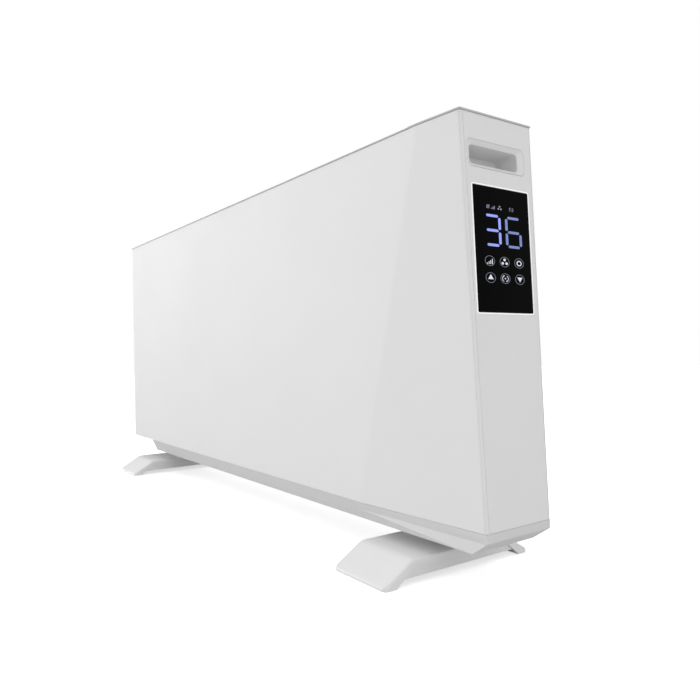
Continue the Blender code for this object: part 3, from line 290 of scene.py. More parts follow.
@dataclass(frozen=True)
class PrintedGlass(Finish):
    """Coated float glass with black enamel on its back: deep black under a weak, sharp mirror.

    Only faint wiping marks, some 20 mm long, break its gloss.
    """

    smear: float = 0.025
    smear_mm: float = 18
    mirror: float = 0.04

    def add_pattern(self, skin: Skin) -> None:
        """Adds the coated glass's weak mirror and the wiping marks.

        Args:
            skin: the shader being set up.
        """
        skin.shader.inputs["Specular IOR Level"].default_value = self.mirror
        stretch = add_node(skin.tree, "ShaderNodeMapping", {
            "Vector": skin.place, "Scale": (1.0, 0.35, 1.6)})
        marks = add_node(skin.tree, "ShaderNodeTexNoise", {
            "Vector": stretch.outputs["Vector"], "Scale": per_metre(self.smear_mm), "Detail": 4.0})
        self.add_gloss_range(skin, marks.outputs["Fac"], self.smear)


@dataclass(frozen=True)
class MouldedRubber(Finish):
    """Moulded rubber: nearly black and matt, with a dusty bloom and a pebbled skin."""

    shade: str = "#2E2E2E"
    pebble_mm: float = 0.9
    pebble_depth_mm: float = 0.05
    bloom_mm: float = 12

    def add_pattern(self, skin: Skin) -> None:
        """Adds the pebbled skin and the bloom.

        Args:
            skin: the shader being set up.
        """
        pebble = add_node(skin.tree, "ShaderNodeTexVoronoi", {
            "Vector": skin.place, "Scale": per_metre(self.pebble_mm)}, feature="SMOOTH_F1")
        self.add_relief(skin, pebble.outputs["Distance"], self.pebble_depth_mm)
        bloom = add_node(skin.tree, "ShaderNodeTexNoise", {
            "Vector": skin.place, "Scale": per_metre(self.bloom_mm), "Detail": 3.0})
        self.add_shades(skin, bloom.outputs["Fac"], self.shade)


@dataclass(frozen=True)
class ZincPlate(Finish):
    """Bright zinc plate on rolled steel: a cool satin metal with a slightly blotchy sheen."""

    shade: str = "#A9ACB0"
    blotch_mm: float = 7.0
    gloss_spread: float = 0.08
    rolling_mm: float = 0.7
    rolling_depth_mm: float = 0.006

    def add_pattern(self, skin: Skin) -> None:
        """Adds the blotches of the plating bath and the rolling lines under them.

        Args:
            skin: the shader being set up.
        """
        skin.shader.inputs["Metallic"].default_value = 1.0
        blotch = add_node(skin.tree, "ShaderNodeTexNoise", {
            "Vector": skin.place, "Scale": per_metre(self.blotch_mm), "Detail": 3.0})
        self.add_shades(skin, blotch.outputs["Fac"], self.shade)
        self.add_gloss_range(skin, blotch.outputs["Fac"], self.gloss_spread)
        rolled = add_node(skin.tree, "ShaderNodeMapping", {
            "Vector": skin.place, "Scale": (0.05, 1.0, 1.0)})
        lines = add_node(skin.tree, "ShaderNodeTexNoise", {
            "Vector": rolled.outputs["Vector"], "Scale": per_metre(self.rolling_mm), "Detail": 1.0})
        self.add_relief(skin, lines.outputs["Fac"], self.rolling_depth_mm)


@dataclass(frozen=True)
class ExtrudedAluminium(Finish):
    """Aluminium straight from the die: pale metal with fine lines along its length."""

    shade: str = "#B4B6B9"
    line_mm: float = 0.6
    line_depth_mm: float = 0.02

    def add_pattern(self, skin: Skin) -> None:
        """Adds the die lines, which run along X.

        Args:
            skin: the shader being set up.
        """
        skin.shader.inputs["Metallic"].default_value = 1.0
        along = add_node(skin.tree, "ShaderNodeMapping", {
            "Vector": skin.place, "Scale": (0.02, 1.0, 1.0)})
        lines = add_node(skin.tree, "ShaderNodeTexNoise", {
            "Vector": along.outputs["Vector"], "Scale": per_metre(self.line_mm), "Detail": 2.0})
        self.add_shades(skin, lines.outputs["Fac"], self.shade)
        self.add_relief(skin, lines.outputs["Fac"], self.line_depth_mm)


@dataclass(frozen=True)
class SteatiteCeramic(Finish):
    """Pressed and fired steatite: a chalky cream body with tiny darker specks."""

    shade: str = "#C9C2AE"
    speck_mm: float = 0.8
    speck_depth_mm: float = 0.03

    def add_pattern(self, skin: Skin) -> None:
        """Adds the specks and the pressed grain.

        Args:
            skin: the shader being set up.
        """
        specks = add_node(skin.tree, "ShaderNodeTexNoise", {
            "Vector": skin.place, "Scale": per_metre(self.speck_mm), "Detail": 3.0, "Roughness": 0.7})
        self.add_shades(skin, specks.outputs["Fac"], self.shade)
        self.add_relief(skin, specks.outputs["Fac"], self.speck_depth_mm)


@dataclass(frozen=True)
class SolderMask(Finish):
    """Green solder mask on glass-epoxy board: copper tracks show as a lighter green under it."""

    shade: str = "#2A7B45"
    track_mm: float = 2.4
    track_depth_mm: float = 0.04

    def add_pattern(self, skin: Skin) -> None:
        """Adds the tracks, which stand a little proud of the board.

        Args:
            skin: the shader being set up.
        """
        tracks = add_node(skin.tree, "ShaderNodeTexVoronoi", {
            "Vector": skin.place, "Scale": per_metre(3 * self.track_mm)},
            distance="MANHATTAN", feature="F1")
        edge = add_node(skin.tree, "ShaderNodeMapRange", {
            "Value": tracks.outputs["Distance"], "From Min": 0.42, "From Max": 0.48})
        self.add_shades(skin, edge.outputs["Result"], self.shade)
        self.add_relief(skin, edge.outputs["Result"], self.track_depth_mm)


@dataclass(frozen=True)
class EnamelledWire(Finish):
    """Enamelled copper wound in layers: a warm gloss broken by the turns."""

    shade: str = "#7A3B1D"
    wire_mm: float = 0.5
    wire_depth_mm: float = 0.15

    def add_pattern(self, skin: Skin) -> None:
        """Adds the turns of wire as bands across Z.

        Args:
            skin: the shader being set up.
        """
        turns = add_node(skin.tree, "ShaderNodeTexWave", {
            "Vector": skin.place, "Scale": per_metre(self.wire_mm) / 20, "Distortion": 0.4},
            bands_direction="Z")
        self.add_shades(skin, turns.outputs["Fac"], self.shade)
        self.add_relief(skin, turns.outputs["Fac"], self.wire_depth_mm)


@dataclass(frozen=True)
class LitDiffuser(Finish):
    """A light guide lit from behind by LEDs: its glow is a touch weaker away from the chip."""

    glow: str = "#9FAAFF"
    glow_edge: str = "#8E9BF5"
    strength: float = 1.0
    spread_mm: float = 4

    def add_pattern(self, skin: Skin) -> None:
        """Adds the glow, which changes slightly over some 4 mm.

        Args:
            skin: the shader being set up.
        """
        spread = add_node(skin.tree, "ShaderNodeTexNoise", {
            "Vector": skin.place, "Scale": per_metre(self.spread_mm), "Detail": 0.0})
        blend = add_node(skin.tree, "ShaderNodeValToRGB", {"Fac": spread.outputs["Fac"]})
        blend.color_ramp.elements[0].color = srgb(self.glow)
        blend.color_ramp.elements[1].color = srgb(self.glow_edge)
        skin.tree.links.new(blend.outputs["Color"], skin.shader.inputs["Emission Color"])
        skin.shader.inputs["Emission Strength"].default_value = self.strength


WHITE_COAT = PowderCoat("polyester_powder_coat_white", Slot.WHITE_STEEL, "#E8E8E8", 0.56)
GREY_COAT = PowderCoat("polyester_powder_coat_grey", Slot.TOP_GREY, "#C2C2C3", 0.5, shade="#BEBEBF")
WHITE_ABS = MouldedPlastic("moulded_abs_white", Slot.WHITE_PLASTIC, "#E7E7E7", 0.52)
# Painted highlight: the display trim glows white so that its thin rim reads brighter than the end face
# round it.
TRIM_ABS_PAINTED_HIGHLIGHT = MouldedPlastic("polished_abs_white_painted_highlight", Slot.WHITE_PLASTIC, "#F8F8F8", 0.25, shade="#F6F6F6",
                          glow=0.22)
LID_ABS = MouldedPlastic("moulded_abs_grey", Slot.TOP_GREY, "#C0C0C1", 0.5, shade="#BCBCBD")
SKIRT_ABS = MouldedPlastic("moulded_abs_light_grey", Slot.SKIRT_GREY, "#D8D8D8", 0.5, shade="#D5D5D5")
BLACK_ABS = MouldedPlastic("moulded_nylon_black", Slot.BLACK_PLASTIC, "#17181A", 0.5, shade="#1D1E20")
GLASS = PrintedGlass("enamelled_float_glass_black", Slot.BLACK_GLASS, "#020203", 0.07)
RUBBER = MouldedRubber("moulded_rubber_black", Slot.BLACK_RUBBER, "#1B1B1B", 0.82)
ZINC = ZincPlate("zinc_plated_steel", Slot.ZINC_STEEL, "#BCC0C4", 0.34)
ALUMINIUM = ExtrudedAluminium("extruded_aluminium", Slot.ALUMINIUM, "#C8CACD", 0.38)
CERAMIC = SteatiteCeramic("pressed_steatite", Slot.CERAMIC, "#DDD6C4", 0.65)
BOARD = SolderMask("solder_mask_green", Slot.CIRCUIT_BOARD, "#14532B", 0.35)
COPPER = EnamelledWire("enamelled_copper_wire", Slot.ZINC_STEEL, "#B5602F", 0.32)
LIT_BRIGHT = LitDiffuser("lit_diffuser_bright", Slot.BLACK_GLASS, "#1A1A22", 0.4)
LIT_DIM = LitDiffuser("lit_diffuser_dim", Slot.BLACK_GLASS, "#1A1A22", 0.4,
                      glow="#7F90CC", glow_edge="#6C7CB4")
LIT_STATE = LitDiffuser("lit_diffuser_state", Slot.BLACK_GLASS, "#1A1A22", 0.4,
                        glow="#9A9CB2", glow_edge="#8486A0")
RING_PRINT = LitDiffuser("lit_ring_print", Slot.BLACK_GLASS, "#1A1A22", 0.4,
                         glow="#70747E", glow_edge="#5C6068")
KEY_PRINT = LitDiffuser("lit_sign_print", Slot.BLACK_GLASS, "#1A1A22", 0.4,
                        glow="#E6E8F4", glow_edge="#D2D5E6")
MARK_PRINT = MouldedPlastic("pad_printed_white", Slot.BLACK_PLASTIC, "#E8E8E8", 0.5, shade="#DDDDDD")


# ---------------------------------------------------------------- shaping

def block(low: Sequence[float], high: Sequence[float], shape: BMesh | None = None) -> BMesh:
    """Adds a box between two opposite corners.

    Args:
        low: the corner with the lowest coordinates.
        high: the corner with the highest.
        shape: the bmesh to add to, or none for a new one.

    Returns:
        The bmesh.
    """
    shape = shape or bmesh.new()
    low, high = Vector(low), Vector(high)
    place = Matrix.Translation((low + high) / 2) @ Matrix.Diagonal((*(high - low), 1.0))
    bmesh.ops.create_cube(shape, size=1.0, matrix=place)
    return shape


def centred_block(centre: Sequence[float], size: Sequence[float], shape: BMesh | None = None) -> BMesh:
    """Adds a box by its centre and size, and returns the bmesh."""
    half = Vector(size) / 2
    return block(Vector(centre) - half, Vector(centre) + half, shape)


def bar(start: Sequence[float], stop: Sequence[float], radius: float, tip: float | None = None,
        segments: int = 24, shape: BMesh | None = None) -> BMesh:
    """Adds a round bar between two points.

    Args:
        start: centre of one end.
        stop: centre of the other end.
        radius: radius at the start.
        tip: radius at the stop, the same as at the start by default.
        segments: sides of the bar.
        shape: the bmesh to add to, or none for a new one.

    Returns:
        The bmesh.
    """
    shape = shape or bmesh.new()
    start, stop = Vector(start), Vector(stop)
    along = stop - start
    turn = along.to_track_quat("Z", "Y").to_matrix().to_4x4()
    bmesh.ops.create_cone(shape, cap_ends=True, segments=segments, radius1=radius,
                          radius2=radius if tip is None else tip, depth=along.length,
                          matrix=Matrix.Translation((start + stop) / 2) @ turn)
    return shape


def extruded(outline: Iterable[Sequence[float]], travel: Sequence[float],
             shape: BMesh | None = None) -> BMesh:
    """Adds a solid whose section is an outline, pushed along a travel.

    Args:
        outline: the corners of the section.
        travel: how far and which way the section is pushed.
        shape: the bmesh to add to, or none for a new one.

    Returns:
        The bmesh.
    """
    shape = shape or bmesh.new()
    face = shape.faces.new([shape.verts.new(corner) for corner in outline])
    made = bmesh.ops.extrude_face_region(shape, geom=[face])["geom"]
    bmesh.ops.translate(shape, verts=[v for v in made if isinstance(v, BMVert)], vec=Vector(travel))
    bmesh.ops.recalc_face_normals(shape, faces=shape.faces[:])
    return shape


def turned(profile: Iterable[tuple[float, float]], centre: Sequence[float], axis: Sequence[float],
           steps: int = 32, shape: BMesh | None = None) -> BMesh:
    """Adds a solid turned about an axis.

    Args:
        profile: a closed run of (radius, level) pairs; a pair at radius zero lies on the axis.
        centre: the point on the axis at level zero.
        axis: the axis, of length one.
        steps: flats round the turn.
        shape: the bmesh to add to, or none for a new one.

    Returns:
        The bmesh.
    """
    turned_part = bmesh.new()
    along = Vector(axis)
    out = along.orthogonal().normalized()
    corners = [turned_part.verts.new(Vector(centre) + out * r + along * level) for r, level in profile]
    for index, corner in enumerate(corners):
        turned_part.edges.new((corner, corners[(index + 1) % len(corners)]))
    bmesh.ops.spin(turned_part, geom=turned_part.verts[:] + turned_part.edges[:], cent=Vector(centre),
                   axis=along, angle=2 * math.pi, steps=steps, use_merge=True, use_duplicate=False)
    bmesh.ops.remove_doubles(turned_part, verts=turned_part.verts[:], dist=MERGE)
    bmesh.ops.recalc_face_normals(turned_part, faces=turned_part.faces[:])
    if shape is None:
        return turned_part
    join(shape, turned_part)
    return shape


def join(shape: BMesh, other: BMesh, place: Matrix | None = None) -> None:
    """Moves the faces of another bmesh into a shape.

    Args:
        shape: the bmesh that grows.
        other: the other bmesh, which is used up.
        place: where the other goes first, or none to leave it in place.
    """
    if place is not None:
        bmesh.ops.transform(other, matrix=place, verts=other.verts[:])
    carrier = bpy.data.meshes.new("carrier")
    other.to_mesh(carrier)
    other.free()
    shape.from_mesh(carrier)
    bpy.data.meshes.remove(carrier)


def edges_where(shape: BMesh, test: Callable[[Vector], bool]) -> list[BMEdge]:
    """Returns the edges whose two ends both pass a test."""
    return [edge for edge in shape.edges if all(test(end.co) for end in edge.verts)]


def round_off(shape: BMesh, edges: list[BMEdge], width: float, segments: int = 3) -> None:
    """Rounds some edges of a shape.

    Args:
        shape: the bmesh.
        edges: the edges to round.
        width: distance from the edge to where the round starts.
        segments: flats across the round.
    """
    bmesh.ops.bevel(shape, geom=edges, offset=width, offset_type="OFFSET", affect="EDGES",
                    segments=segments, profile=0.5, material=-1, clamp_overlap=True)


def round_plate(size: tuple[float, float], radius: float, thickness: float, segments: int = 5,
                place: Matrix | None = None) -> BMesh:
    """Makes a plate with rounded corners in local Y and Z, its front at local X zero.

    Args:
        size: its width along Y and its height along Z.
        radius: radius of its corners.
        thickness: how far it reaches back; zero leaves one face.
        segments: flats round each corner.
        place: where the plate goes, or none for the origin.

    Returns:
        The bmesh.
    """
    shape = bmesh.new()
    stand = Matrix.Rotation(math.pi / 2, 4, "Z") @ Matrix.Rotation(math.pi / 2, 4, "X")
    bmesh.ops.create_grid(shape, x_segments=1, y_segments=1, size=0.5, matrix=stand)
    bmesh.ops.scale(shape, vec=(1.0, size[0], size[1]), verts=shape.verts[:])
    bmesh.ops.bevel(shape, geom=shape.verts[:], offset=radius, affect="VERTICES", segments=segments,
                    profile=0.5, material=-1)
    if thickness:
        made = bmesh.ops.extrude_face_region(shape, geom=shape.faces[:])["geom"]
        moved = [v for v in made if isinstance(v, BMVert)]
        bmesh.ops.translate(shape, verts=moved, vec=(-thickness, 0.0, 0.0))
        bmesh.ops.recalc_face_normals(shape, faces=shape.faces[:])
    if place is not None:
        bmesh.ops.transform(shape, matrix=place, verts=shape.verts[:])
    return shape


def frame_copy(node: str) -> BMesh:
    """Copies a frame node's solid, with its corners merged and its flat faces made whole.

    Args:
        node: the node's name.

    Returns:
        The bmesh.
    """
    shape = bmesh.new()
    shape.from_mesh(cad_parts[node].data)
    bmesh.ops.remove_doubles(shape, verts=shape.verts[:], dist=MERGE)
    bmesh.ops.dissolve_limit(shape, angle_limit=FLAT_ANGLE, verts=shape.verts[:],
                             edges=shape.edges[:])
    return shape


def temporary(shape: BMesh) -> bpy.types.Object:
    """Makes a loose object for a shape.

    Args:
        shape: the bmesh, which is used up.

    Returns:
        The object.
    """
    mesh = bpy.data.meshes.new("temporary")
    shape.to_mesh(mesh)
    shape.free()
    made = bpy.data.objects.new("temporary", mesh)
    bpy.context.scene.collection.objects.link(made)
    return made


def carved(shape: BMesh, tool: BMesh, way: Carve) -> BMesh:
    """Cuts a solid with another, or joins the two.

    Args:
        shape: the solid, which is used up.
        tool: the other solid, also used up.
        way: whether to cut or to join.

    Returns:
        The new solid.
    """
    solid, cutter = temporary(shape), temporary(tool)
    modifier = solid.modifiers.new("carve", "BOOLEAN")
    modifier.operation = way.value
    modifier.solver = "EXACT"
    modifier.object = cutter
    bpy.context.view_layer.update()
    depsgraph = bpy.context.evaluated_depsgraph_get()
    mesh = bpy.data.meshes.new_from_object(solid.evaluated_get(depsgraph))
    result = bmesh.new()
    result.from_mesh(mesh)
    bpy.data.meshes.remove(mesh)
    for spent in (solid, cutter):
        used = spent.data
        bpy.data.objects.remove(spent)
        bpy.data.meshes.remove(used)
    bmesh.ops.remove_doubles(result, verts=result.verts[:], dist=MERGE)
    bmesh.ops.dissolve_limit(result, angle_limit=FLAT_ANGLE, verts=result.verts[:],
                             edges=result.edges[:])
    return result


def add_piece(name: str, shape: BMesh, finish: Finish, stands_for: Sequence[str] = (),
              body: Body = Body.CASING, soften: float = 0.0, segments: int = 2,
              place: Matrix | None = None) -> bpy.types.Object:
    """Makes a finished piece from a shape, in place and riding on its body.

    Args:
        name: the piece's name.
        shape: its bmesh, which is used up.
        finish: its finish, whose material the piece takes.
        stands_for: the frame nodes that the piece replaces.
        body: the body that carries it.
        soften: radius of the rounding on its crisp edges.
        segments: flats across that rounding.
        place: where the shape goes if it was built in a frame of its own.

    Returns:
        The new object.
    """
    if place is not None:
        bmesh.ops.transform(shape, matrix=place, verts=shape.verts[:])
    mesh = bpy.data.meshes.new(name)
    shape.to_mesh(mesh)
    shape.free()
    mesh.materials.append(finish.material())
    mesh.shade_smooth()
    piece = bpy.data.objects.new(name, mesh)
    bpy.context.scene.collection.objects.link(piece)
    if soften:
        rounding = piece.modifiers.new("softened_edges", "BEVEL")
        rounding.width = soften
        rounding.segments = segments
        rounding.limit_method = "ANGLE"
        rounding.angle_limit = ROUNDED_ANGLE
        rounding.harden_normals = True
    else:
        mesh.set_sharp_from_angle(angle=SMOOTH_ANGLE)
    # A large flat face keeps one shade right up to its rounding.
    flats = piece.modifiers.new("even_flats", "WEIGHTED_NORMAL")
    flats.keep_sharp = True
    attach(piece, body.value)
    if stands_for:
        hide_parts(*stands_for)
    LOG.info("made %s with finish %s on body %s", name, finish.name, body.value)
    return piece


def dress(finish: Finish, *nodes: str) -> None:
    """Gives frame nodes that stay in view a finish.

    Args:
        finish: the finish.
        nodes: the nodes' names.
    """
    for node in nodes:
        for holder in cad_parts[node].material_slots:
            holder.material = finish.material()
        LOG.info("dressed %s with finish %s", node, finish.name)


# ---------------------------------------------------------------- casing

@dataclass(frozen=True)
class CasingForm:
    """Where the casing's faces lie, from the frame's boxes and the fold's own sizes."""

    end_lean: float = 16.5 * MM
    crease_bottom: float = 170 * MM      # from the display end's lower corner
    crease_top: float = 69.5 * MM
    facet_setback: float = 11.5 * MM
    sheet: float = 1.2 * MM
    gap: float = 0.3 * MM

    @property
    def low(self) -> Vector:
        """Lowest corner of the folded front."""
        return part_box("front_panel")[0]

    @property
    def high(self) -> Vector:
        """Highest corner of the folded front."""
        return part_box("front_panel")[1]

    @property
    def rear(self) -> float:
        """Y of the rear panel's outer face."""
        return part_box("rear_panel")[1].y

    def rise(self, height: float) -> float:
        """Returns the share of the casing's height, 0 at its lower edge."""
        return (height - self.low.z) / (self.high.z - self.low.z)

    def end_x(self, height: float) -> float:
        """Returns X of the display end's face at a height."""
        return self.high.x - self.end_lean * self.rise(height)

    def crease_x(self, height: float) -> float:
        """Returns X of the slanted crease at a height."""
        lean = (self.crease_bottom - self.crease_top) * self.rise(height)
        return self.high.x - self.crease_bottom + lean

    def front_y(self, across: float, height: float) -> float:
        """Returns Y of the front's outer face at a place."""
        slope = self.facet_setback / self.crease_bottom
        return self.low.y + slope * max(0.0, across - self.crease_x(height))

    def display_end(self, height: float, shift: float = 0.0) -> Matrix:
        """Returns a frame on the display end: local X out of it, Y to the rear, Z up it."""
        lean = math.atan2(self.end_lean, self.high.z - self.low.z)
        return Matrix.Translation((self.end_x(height), shift, height)) @ Matrix.Rotation(-lean, 4, "Y")

    def left_end(self, height: float) -> Matrix:
        """Returns the same kind of frame on the plain end."""
        return Matrix.Translation((self.low.x, 0.0, height)) @ Matrix.Rotation(math.pi, 4, "Z")


FORM = CasingForm()


@dataclass
class Casing:
    """Folded front, louvred back, moulded end caps with carry grips, and the slotted top."""

    corner_radius: float = 2.4 * MM
    return_depth: float = 3.6 * MM       # the sheet's rolled return at each end
    crease_round: float = 1.6 * MM
    cap_soft: float = 0.5 * MM
    grip_height: float = 395.6 * MM
    grip_mouth: tuple[float, float] = (64.5 * MM, 17.3 * MM)
    grip_rim: tuple[float, float] = (76.0 * MM, 25.0 * MM)
    grip_bevel: float = 3.5 * MM
    grip_depth: float = 29.5 * MM
    grip_wall: float = 1.8 * MM
    grip_rim_corner: float = 5 * MM
    grip_pocket_corner: float = 4.8 * MM
    grip_slope_corner: float = 4.6 * MM
    grip_ease: float = 0.6 * MM          # flat border left round the slope
    grip_taper: tuple[float, float] = (0.985, 0.95)
    tool_margin: float = 5 * MM          # by which a cutter reaches past what it cuts
    slot_width: float = 5 * MM
    slot_pitch: float = 9.5 * MM
    slot_length: float = 35 * MM
    slot_spine: float = 6 * MM
    slot_corner: float = 2.3 * MM
    slot_margin: float = 26 * MM
    rear_round: float = 1.0 * MM
    louvre_size: tuple[float, float, float] = (86 * MM, 2.6 * MM, 5.6 * MM)
    louvre_rise: float = 0.6 * MM        # of the hood's middle over its slot's
    louvre_round: float = 2.2 * MM
    louvre_sheet: float = 0.7 * MM
    louvre_pitch: float = 9 * MM
    louvre_step: float = 100 * MM
    louvre_bottom: float = 74 * MM
    low_rows: int = 4
    fan_rows: int = 9
    fan_column: int = 2
    columns: int = 6

    def build(self) -> None:
        """Builds every piece of the casing."""
        self.build_front()
        self.build_rear()
        self.build_end_caps()
        for name, place in (("left", FORM.left_end(self.grip_height)),
                            ("right", FORM.display_end(self.grip_height))):
            self.build_grip(name, place)
        self.build_grille()
        lid = frame_copy("top_end_cover")
        add_piece("top_end_lid", lid, LID_ABS, ("top_end_cover",), soften=0.7 * MM, segments=3)
        dress(ZINC, "floor_pan")

    def build_front(self) -> None:
        """Folds the front sheet: one slanted crease, and a rolled return at each end."""
        shape = bmesh.new()
        rows = []
        for height in (FORM.low.z, FORM.high.z):
            end = FORM.end_x(height)
            corner = FORM.front_y(end, height)
            places = ((FORM.low.x, FORM.low.y + self.return_depth), (FORM.low.x, FORM.low.y),
                      (FORM.crease_x(height), FORM.low.y), (end, corner),
                      (end, corner + self.return_depth))
            rows.append([shape.verts.new((across, depth, height)) for across, depth in places])
        folds = [shape.edges.new((lower, upper)) for lower, upper in zip(*rows)]
        for first, second in zip(folds, folds[1:]):
            shape.faces.new((first.verts[0], second.verts[0], second.verts[1], first.verts[1]))
        round_off(shape, [folds[2]], self.crease_round, segments=2)
        at_ends = edges_where(shape, lambda co: abs(co.y - FORM.front_y(co.x, co.z)) < NEAR
                              and (abs(co.x - FORM.low.x) < NEAR
                                   or abs(co.x - FORM.end_x(co.z)) < NEAR))
        round_off(shape, at_ends, self.corner_radius, segments=6)
        bmesh.ops.recalc_face_normals(shape, faces=shape.faces[:])
        bmesh.ops.solidify(shape, geom=shape.faces[:], thickness=FORM.sheet)
        bmesh.ops.recalc_face_normals(shape, faces=shape.faces[:])
        add_piece("folded_front", shape, WHITE_COAT, ("front_panel",))

    def build_rear(self) -> None:
        """Presses a louvre over each air slot of the rear sheet."""
        shape = frame_copy("rear_panel")
        tall = (FORM.high.z - FORM.low.z) * 0.8
        upright = [edge for edge in shape.edges
                   if abs(edge.verts[0].co.z - edge.verts[1].co.z) > tall
                   and min(end.co.y for end in edge.verts) > FORM.rear - NEAR]
        round_off(shape, upright, self.rear_round, segments=3)
        fan_x = sum(corner.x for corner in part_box("fan_shroud")) / 2
        for column in range(self.columns):
            across = fan_x + (column - self.fan_column) * self.louvre_step
            rows = self.fan_rows if column == self.fan_column else self.low_rows
            for row in range(rows):
                self.add_louvre(shape, across, self.louvre_bottom + row * self.louvre_pitch)
        add_piece("louvred_back", shape, WHITE_COAT, ("rear_panel",))

    def add_louvre(self, shape: BMesh, across: float, height: float) -> None:
        """Adds one pressed hood over a slot; it is open at its lower side.

        Args:
            shape: the rear sheet.
            across: X of the slot's middle.
            height: Z of the slot's middle.
        """
        width, proud, tall = self.louvre_size
        middle = height + self.louvre_rise
        hood = centred_block((across, FORM.rear + proud / 2, middle), (width, proud, tall))
        outer = FORM.rear + proud - NEAR
        top = middle + tall / 2 - NEAR
        upper = edges_where(hood, lambda co: co.y > outer and co.z > top)
        round_off(hood, upper, self.louvre_round, segments=4)
        inside = [face for face in hood.faces
                  if face.normal.z < -0.9 or face.normal.y < -0.9]
        bmesh.ops.delete(hood, geom=inside, context="FACES")
        bmesh.ops.solidify(hood, geom=hood.faces[:], thickness=self.louvre_sheet)
        bmesh.ops.recalc_face_normals(hood, faces=hood.faces[:])
        join(shape, hood)

    def build_end_caps(self) -> None:
        """Takes the moulded caps back from the sheet's rolled returns and softens their edges."""
        clear = self.return_depth + FORM.gap
        past = self.tool_margin
        for side in ("left", "right"):
            node = f"{side}_end_cap"
            low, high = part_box(node)
            reach = [FORM.front_y(max(across, FORM.crease_x(low.z)), low.z) + clear
                     for across in (low.x, high.x)]
            outline = [(low.x - past, FORM.low.y - past, low.z - past),
                       (high.x + past, FORM.low.y - past, low.z - past),
                       (high.x + past, reach[1], low.z - past),
                       (low.x - past, reach[0], low.z - past)]
            tool = extruded(outline, (0.0, 0.0, high.z - low.z + 2 * past))
            if side == "right":
                self.lean_tool(tool, clear)
            cap = carved(frame_copy(node), tool, Carve.CUT)
            add_piece(f"{side}_moulded_cap", cap, WHITE_ABS, (node,), soften=self.cap_soft, segments=2)

    def lean_tool(self, tool: BMesh, clear: float) -> None:
        """Moves a cutter's inner upright edges onto a line parallel to the leaning facet.

        Args:
            tool: the cutter.
            clear: how far behind the facet the line runs.
        """
        for corner in tool.verts:
            if corner.co.y > FORM.low.y - 1 * MM:
                corner.co.y = FORM.front_y(FORM.end_x(corner.co.z), corner.co.z) + clear

    def build_grip(self, name: str, place: Matrix) -> None:
        """Moulds a carry grip: a sloped rim round a mouth, and a pocket for the fingers.

        Args:
            name: the end that it is in.
            place: the frame of that end, at the grip's middle.
        """
        flange = self.grip_bevel + self.grip_wall
        rim = round_plate(self.grip_rim, self.grip_rim_corner, flange, segments=6)
        size = [mouth + 2 * self.grip_wall for mouth in self.grip_mouth]
        depth = self.grip_depth + self.grip_wall - flange + FORM.gap
        pocket = round_plate(size, self.grip_pocket_corner, depth, segments=6,
                             place=Matrix.Translation((FORM.gap - flange, 0.0, 0.0)))
        shape = carved(carved(rim, pocket, Carve.JOIN), self.grip_funnel(), Carve.CUT)
        add_piece(f"grip_recess_{name}", shape, WHITE_ABS, (f"grip_cup_{name}",), soften=0.7 * MM,
                  segments=3, place=place)

    def grip_funnel(self) -> BMesh:
        """Shapes the empty space of a grip: the slope of its rim and the pocket behind.

        Returns:
            The bmesh, with the rim's face at local X zero.
        """
        lead = 2 * MM
        size = [rim - 2 * self.grip_ease for rim in self.grip_rim]
        shape = round_plate(size, self.grip_slope_corner, lead, segments=6,
                            place=Matrix.Translation((lead, 0.0, 0.0)))
        front = min(shape.faces, key=lambda face: face.calc_center_median().x)
        steps = ((-self.grip_bevel, [mouth / span for mouth, span in zip(self.grip_mouth, size)]),
                 (self.grip_bevel - self.grip_depth, self.grip_taper))
        for travel, share in steps:
            front = bmesh.ops.extrude_discrete_faces(shape, faces=[front])["faces"][0]
            bmesh.ops.scale(shape, vec=(1.0, *share), verts=front.verts[:])
            bmesh.ops.translate(shape, vec=(travel, 0.0, 0.0), verts=front.verts[:])
        bmesh.ops.recalc_face_normals(shape, faces=shape.faces[:])
        return shape

    def build_grille(self) -> None:
        """Stamps two rows of round-ended slots in the top sheet."""
        low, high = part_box("top_grille")
        thickness = high.z - low.z
        span = high.x - low.x - 2 * self.slot_margin
        count = int(span / self.slot_pitch)
        first = (low.x + high.x) / 2 - (count - 1) * self.slot_pitch / 2
        slots = bmesh.new()
        side_y = (self.slot_spine + self.slot_length) / 2
        size = (self.slot_width, self.slot_length)
        for number in range(count):
            for side in (-side_y, side_y):
                turn = Matrix.Rotation(-math.pi / 2, 4, "Y")
                place = Matrix.Translation((first + number * self.slot_pitch, side, high.z + thickness))
                tool = round_plate((size[1], size[0]), self.slot_corner, 3 * thickness, segments=4,
                                   place=place @ turn)
                join(slots, tool)
        grille = carved(block(low, high), slots, Carve.CUT)
        add_piece("stamped_grille", grille, GREY_COAT, ("top_grille",), soften=0.35 * MM, segments=2)


# ---------------------------------------------------------------- base

